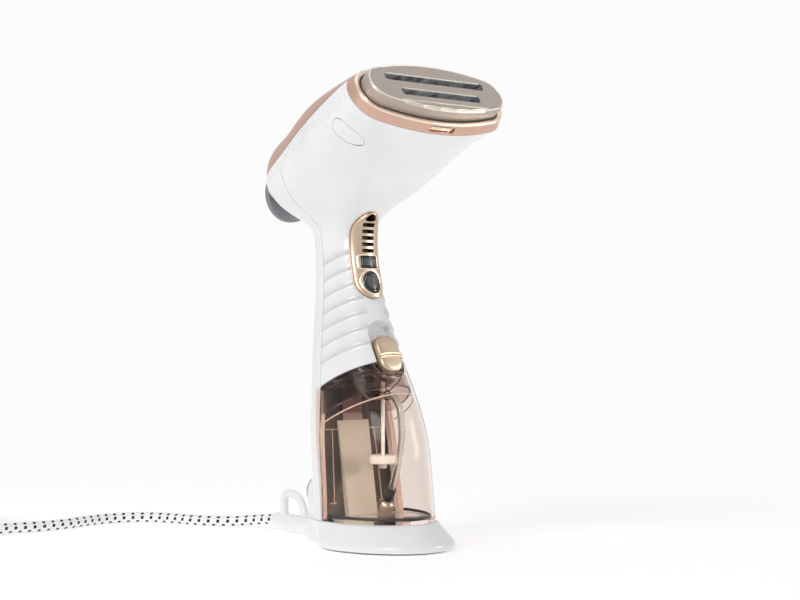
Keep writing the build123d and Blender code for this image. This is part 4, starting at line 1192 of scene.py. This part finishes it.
for side, name in ((-1, "left"), (1, "right")):
    for number, (x0, z0, x1, z1) in enumerate(BACK_LINES):
        x, z = np.linspace(side * x0, side * x1, 3), np.linspace(z0, z1, 3)
        ends = points_at(x, seam_y(z) + 5.1, z)
        piece(f"back_line_{name}_{number}", tube_along(ends, 0.42, 16), thread, "housing", "dark_plastic")
    frame_rows = []
    for z in np.linspace(18.8, 105.0, 24):
        y = seam_y(z) - 0.12
        out = float(half_at(y, z, 0.5))
        frame_rows.append((side * (out - 4.3), side * out, y, z))
    plate_between(f"seam_frame_{name}", frame_rows, 0.2, blush, slot="rose_gold")
    strip = []
    for z in np.linspace(19.0, 106.5, 40):
        wide = 0.9 + 5.2 * (z - 19.0) / 87.5
        y = seam_y(z) + 0.35 + wide * np.linspace(0, 1, 6)
        x = half_at(y, z, 0.0)
        outside, inside = points_at(side * (x + 0.16), y, z), points_at(side * (x - 0.3), y, z)
        strip.append(np.concatenate([outside, inside[::-1]]))
    piece(f"spine_strip_{name}", strip, blush, "housing", "rose_gold")


def level_arc(offset, less, count=120):
    """Line round the tank's inside on a plane parallel to the parting, in front of the seam."""
    turn = turns(count) + pi / 2
    z = np.full(count, 90.0)
    size = np.hypot(PART_SLOPE, 1.0)
    for _ in range(25):
        y = handle_m(z) + (handle_b(z) - less) * np.sin(turn)
        z = PART_Z + offset * size - PART_SLOPE * (y - 40.0)
    x = (handle_a(z) - less) * np.cos(turn)
    keep_it = y < seam_y(z) - 2.8
    return points_at(x, y, z)[keep_it]


piece("cap_line_low", tube_along(level_arc(-24.0, 2.7), 0.45, 16), thread, "tank", "smoke_tank")
piece("cap_line_high", tube_along(level_arc(-5.0, 2.7), 0.4, 16), shade_and_line_brown, "tank", "smoke_tank")
base_arc = handle_ring(20.9 + 0.7, 3.2, 160)
base_arc = np.roll(base_arc, -40, axis=0)
base_arc = base_arc[base_arc[:, 1] < seam_y(21.6) - 3.6]
piece("base_seal", tube_along(base_arc, 1.0, 18), dark, "tank", "silicone")

# ---- foot ----


def ellipse_ring(z, a, b, mid, count=160):
    turn = turns(count)
    return points_at(a * np.cos(turn), mid + b * np.sin(turn), z)


def egg_ring(z, a, b, mid, narrow):
    """Oval ring whose rear half is narrowed by this share."""
    ring = ellipse_ring(z, a, b, mid)
    rear_share = np.clip((ring[:, 1] - mid) / b, 0, 1)
    ring[:, 0] *= 1 - narrow * rear_share**1.75
    return ring


FOOT = ((1.2, 42.8, 55.8, -3.0), (1.45, 43.6, 56.6, -3.0), (2.4, 44.0, 57.0, -3.0), (4.6, 43.95, 56.95, -3.0),
        (5.9, 43.5, 56.5, -2.7), (7.6, 42.6, 55.7, -1.9), (10.0, 41.2, 54.5, -0.1), (13.0, 39.8, 53.2, 2.2),
        (16.0, 38.8, 52.2, 4.2), (17.3, 38.3, 51.8, 5.0), (17.9, 37.6, 51.1, 5.2), (18.0, 36.8, 50.3, 5.3))
foot_rings = [egg_ring(*row, 0.5 * (1 - (row[0] / FOOT_TOP) ** 2)) for row in FOOT]
foot = skin("foot_skin", foot_rings, white)
HEEL = ((1.2, -0.6), (1.6, 0.0), (5.0, -0.4), (10.0, -0.9), (15.5, -1.5), (17.3, -2.2), (17.95, -3.4))
heel_rings = []
for z, grow in HEEL:
    plan = round_box(17.0 + grow, 20.0 + grow, 13.5 + grow * 0.5, 96) + np.array([0, 48.0])
    plan[:, 0] *= 1 + 0.018 * np.clip(60.0 - plan[:, 1], 0, None)
    heel_rings.append(np.concatenate([plan, np.full((96, 1), z)], axis=1))
heel = skin("heel", heel_rings, white)
cut(foot, heel, "UNION")
soft_shading(foot)
dress(foot, "housing", "white_gloss", "foot")
for number, (x, y) in enumerate(((-9.5, 57.0), (9.5, 57.0), (0.0, 27.0))):
    screw_rings = []
    for r, z in ((2.4, 2.6), (2.9, 2.9), (2.9, 4.4), (2.6, 4.7), (1.6, 4.7), (1.6, 14.0), (0.8, 14.6)):
        screw_rings.append(ellipse_ring(z, r, r, y, 32) + np.array([x, 0, 0]))
    screw = piece(f"foot_screw_{number}", screw_rings, steel, "housing", "element")
    if number == 0:
        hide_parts("foot_screws")
pad_rings = [egg_ring(z, 40.5, 53.0, -2.5, 0.5) for z in (0.0, 1.2)]
piece("foot_pad_skin", pad_rings, grey, "housing", "silicone", "foot_pad")


# ---- rear button: a boss on the spine, a thin ring and a white cap ----
BUTTON_Z, BOSS_HALF, HOLE_R = 32.5, 11.4, 8.7


def round_ring(r, y):
    turn = turns(72)
    return points_at(r * np.cos(turn), y, BUTTON_Z - r * np.sin(turn))


def boss_ring(half, y):
    """Round above the button's middle and straight down to the foot."""
    ring = round_ring(half, y)
    lower = ring[:, 2] < BUTTON_Z
    ring[lower, 2] = BUTTON_Z - (BUTTON_Z - ring[lower, 2]) * (BUTTON_Z - 6.0) / half
    ring[lower, 0] = half * np.sign(ring[lower, 0]) * np.abs(ring[lower, 0] / half) ** 0.4
    return ring


boss = skin("button_boss", [boss_ring(BOSS_HALF - less, y) for less, y in
                            ((0, 50.0), (0, 62.6), (0.25, 63.9), (0.9, 64.8), (1.7, 65.2))], white)
cut(boss, skin("drill", [round_ring(HOLE_R, y) for y in (51.0, 70.0)], white))
soft_shading(boss)
dress(boss, "housing", "white_gloss")
RING = ((8.7, 64.6), (10.2, 64.6), (10.4, 65.6), (10.2, 66.7), (9.7, 67.2), (9.1, 67.2), (8.75, 66.8),
        (8.7, 66.0))
piece("button_ring", [round_ring(r, y) for r, y in RING], rose,
      "housing", "rose_gold", "rear_button_ring", closed=True)
CAP = ((8.0, 58.0), (8.3, 58.4), (8.3, 66.4), (8.05, 66.95), (7.4, 67.4), (5.4, 67.85), (2.8, 68.1),
       (0.1, 68.15))
piece("rear_button_cap", [round_ring(r, y) for r, y in CAP], white, "rear_key", "white_gloss", "rear_button")

# ---- strain relief with its hanging loop ----
RELIEF = np.linspace(60.0, 117.0, 80)
swell = ease(RELIEF, 95.0, 118.0)
relief_path = [(0, y, 6.6 + 1.6 * s) for y, s in zip(RELIEF, swell)]
relief_r = 6.45 - 1.55 * swell - 0.5 * ease(RELIEF, 115.8, 117.0)
relief = skin("strain_relief", tube_along(relief_path, relief_r, 40), white)
LOOP = np.array([(80.5, 6.0), (83.0, 16.0), (88.0, 24.3), (96.0, 27.7), (104.6, 27.0), (106.6, 19.5),
                 (105.6, 6.0)])
knots, steady = np.linspace(0, 1, len(LOOP)), np.linspace(0, 1, 60)
hook_path = points_at(0, cubic(knots, LOOP[:, 0])(steady), cubic(knots, LOOP[:, 1])(steady))
hook = skin("hook", tube_along(hook_path, 2.85, 24), white)
cut(relief, hook, "UNION")
soft_shading(relief, 40)
dress(relief, "housing", "white_gloss", "cord_gland")

# ---- mains cord ----
CORD = [
    (0, 117, 8.2), (-3, 133.7, 6.4), (-11, 148.7, 4.6), (-21.5, 162.1, 4.1), (-29.5, 177.1, 4.05),
    (-33.6, 193.6, 4.05), (-39.4, 209.6, 4.05), (-50.8, 222.2, 4.05), (-66.3, 229.1, 4.05),
    (-83.3, 229.6, 4.05), (-99.3, 224.6, 4.05), (-115.4, 219.4, 4.05), (-132.4, 217.2, 4.05),
    (-149.5, 217.6, 4.3), (-167, 218, 4.8), (-187.5, 217.3, 5),
]
TAIL = [(-247, 262, 21.5), (-245.8, 274, 26.4), (-239.5, 285, 31), (-229.5, 293, 34.8), (-217, 295, 37)]
COIL_X, COIL_Y, TURNS, PER_TURN = -207.0, 265.0, 5.25, 16
LAYERS = ((47.8, 4.95), (40.2, 4.95), (40.2, 12.0), (47.8, 12.0), (47.8, 19.1), (40.2, 19.1))
route = list(CORD)
steps = int(TURNS * PER_TURN)
for step in range(1, steps):
    share = step / steps * len(LAYERS)
    layer = min(int(share), len(LAYERS) - 1)
    following = min(layer + 1, len(LAYERS) - 1)
    swap = float(ease(np.array([share - layer]), 0.78, 1.0)[0])
    r = LAYERS[layer][0] * (1 - swap) + LAYERS[following][0] * swap
    z = LAYERS[layer][1] * (1 - swap) + LAYERS[following][1] * swap
    angle = -pi / 2 - step / PER_TURN * 2 * pi
    route.append((COIL_X + r * cos(angle), COIL_Y + r * sin(angle), z))
route += TAIL
line = bpy.data.curves.new("route", "CURVE")
line.dimensions = "3D"
line.resolution_u = 10
spline = line.splines.new("NURBS")
spline.points.add(len(route) - 1)
for point, place in zip(spline.points, route):
    point.co = tuple(c * MM for c in place) + (1.0,)
spline.order_u = 3
spline.use_endpoint_u = True
guide = bpy.data.objects.new("route", line)
scene.collection.objects.link(guide)
path_mesh = bpy.data.meshes.new_from_object(guide)
path = [tuple(v.co) for v in path_mesh.vertices]
bpy.data.objects.remove(guide)
path_mm = np.array(path) / MM
runs = np.concatenate([[0], np.cumsum(np.linalg.norm(np.diff(path_mm, axis=0), axis=1))])
AROUND = 20
cord = skin("cord", tube_along(path_mm, CORD_D / 2, AROUND), braid)
layer = cord.data.uv_layers.new(name="run")
corner_vertex = np.empty(len(cord.data.loops), int)
cord.data.loops.foreach_get("vertex_index", corner_vertex)
ring_of, slot_of = corner_vertex // AROUND, corner_vertex % AROUND
uv = np.stack([runs[ring_of], slot_of / AROUND], axis=1)
for polygon in cord.data.polygons:
    corners = range(polygon.loop_start, polygon.loop_start + polygon.loop_total)
    values = uv[list(corners), 1]
    if values.max() - values.min() > 0.5:
        for corner in corners:
            if uv[corner, 1] < 0.5:
                uv[corner, 1] += 1.0
layer.data.foreach_set("uv", uv.ravel())
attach(cord, "housing")
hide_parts("cord_tube", "cord_coil", "cord_tail")
nodes = frame["nodes"]

# ---- materials of the CAD nodes that stay ----
FINISH = {
    white: ("handle_floor", "plug_body", "plug_relief"),
    lit_gold: ("bezel_clip",),
    dark: ("tank_seal", "fill_plug", "power_switch", "steam_switch", "rear_switch",
           "terminal_block", "dial_valve", "water_pump", "cord_tie"),
    black: ("lens_strip", "hose_connector"),
    board: ("circuit_board",),
    cast: ("steam_chamber", "heater_block"),
    steel: ("heating_element", "thermostat", "ballast_plate"),
    mica: ("mica_sheet", "thermal_fuse"),
    hose: ("boiler_feed_tube", "pump_inlet_tube", "pickup_hose"),
    ivory: ("tank_socket", "inner_lead"),
    cloudy: ("level_float", "float_stem"),
    cap_smoke: ("tank_cap", "outlet_elbow"),
    ball: ("filter_weight",),
    pin: ("plug_pins",),
}
for shade, names in FINISH.items():
    for name in names:
        obj = nodes[name]
        for slot in obj.material_slots:
            slot.material = shade.material
        if not obj.material_slots:
            obj.data.materials.append(shade.material)

# ---- floor and light ----
FAR = 9000
floor_corners = [(-FAR, -FAR, 0), (FAR, -FAR, 0), (FAR, FAR, 0), (-FAR, FAR, 0)]
floor = add_mesh("floor", floor_corners, [(0, 1, 2, 3)], None)
floor_shade = Shade("floor", "f4f4f4", 0.7)
floor_shade.tint(floor_shade.noise(2.0), [(0.3, "f4f4f4"), (0.7, "f1f1f1")])
far = floor_shade.node("ShaderNodeVectorMath", operation="LENGTH")
floor_shade.link(floor_shade.place, far.inputs[0])
spread = floor_shade.node("ShaderNodeMapRange", interpolation_type="SMOOTHSTEP")
spread.inputs["From Min"].default_value = 0.15
spread.inputs["From Max"].default_value = 0.75
floor_shade.link(far.outputs["Value"], spread.inputs["Value"])
glow = floor_shade.node("ShaderNodeEmission")
glow.inputs["Strength"].default_value = 0.97
blend = floor_shade.node("ShaderNodeMixShader")
floor_shade.link(spread.outputs["Result"], blend.inputs["Fac"])
floor_shade.link(floor_shade.shader.outputs["BSDF"], blend.inputs[1])
floor_shade.link(glow.outputs["Emission"], blend.inputs[2])
floor_shade.link(blend.outputs["Shader"], floor_shade.tree.nodes["Material Output"].inputs["Surface"])
floor_shade.shader.inputs["Emission Color"].default_value = (1, 1, 1, 1)
floor_shade.shader.inputs["Emission Strength"].default_value = 0.3
floor.data.materials.append(floor_shade.material)


def lamp(name, place, target, size, power, tall=None):
    """Soft area light, in metres."""
    data = bpy.data.lights.new(name, "AREA")
    data.shape = "RECTANGLE"
    data.size, data.size_y = size, tall or size
    data.energy = power
    obj = bpy.data.objects.new(name, data)
    scene.collection.objects.link(obj)
    obj.location = place
    obj.rotation_euler = (Vector(target) - Vector(place)).to_track_quat("-Z", "Y").to_euler()
    return obj


world = bpy.data.worlds.new("studio")
scene.world = world
world.use_nodes = True
world.node_tree.nodes["Background"].inputs["Color"].default_value = (1, 1, 1, 1)
world.node_tree.nodes["Background"].inputs["Strength"].default_value = 0.5
path = world.node_tree.nodes.new("ShaderNodeLightPath")
seen = world.node_tree.nodes.new("ShaderNodeBackground")
seen.inputs["Strength"].default_value = 0.97
choose = world.node_tree.nodes.new("ShaderNodeMixShader")
shiny = world.node_tree.nodes.new("ShaderNodeMath")
shiny.operation = "MULTIPLY"
shiny.inputs[1].default_value = 0.6
either = world.node_tree.nodes.new("ShaderNodeMath")
either.operation = "MAXIMUM"
sight = world.node_tree.nodes.new("ShaderNodeMath")
sight.operation = "MAXIMUM"
world.node_tree.links.new(path.outputs["Is Glossy Ray"], shiny.inputs[0])
world.node_tree.links.new(path.outputs["Is Camera Ray"], either.inputs[0])
world.node_tree.links.new(path.outputs["Is Transmission Ray"], either.inputs[1])
world.node_tree.links.new(either.outputs[0], sight.inputs[0])
world.node_tree.links.new(shiny.outputs[0], sight.inputs[1])
world.node_tree.links.new(sight.outputs[0], choose.inputs[0])
world.node_tree.links.new(world.node_tree.nodes["Background"].outputs[0], choose.inputs[1])
world.node_tree.links.new(seen.outputs[0], choose.inputs[2])
world.node_tree.links.new(choose.outputs[0], world.node_tree.nodes["World Output"].inputs[0])
seen.inputs["Color"].default_value = (1, 1, 1, 1)
lamp("key", (-1.7, -0.2, 1.6), (0, 0, 0.2), 1.1, 16).visible_glossy = False
lamp("fill", (1.2, -1.4, 0.6), (0, 0, 0.2), 1.0, 1.2).visible_glossy = False
lamp("top", (0, 0.3, 1.6), (0, 0, 0.2), 1.2, 3)
shine = lamp("shine", (0.95, -0.8, 0.42), (0, 0, 0.06), 0.36, 5, 0.42)
shine.visible_diffuse = False
glint = lamp("glint", (-1.2, -0.9, 0.75), (0, 0, 0.3), 0.7, 11, 0.4)
glint.visible_diffuse = False
scene.view_settings.view_transform = "Standard"
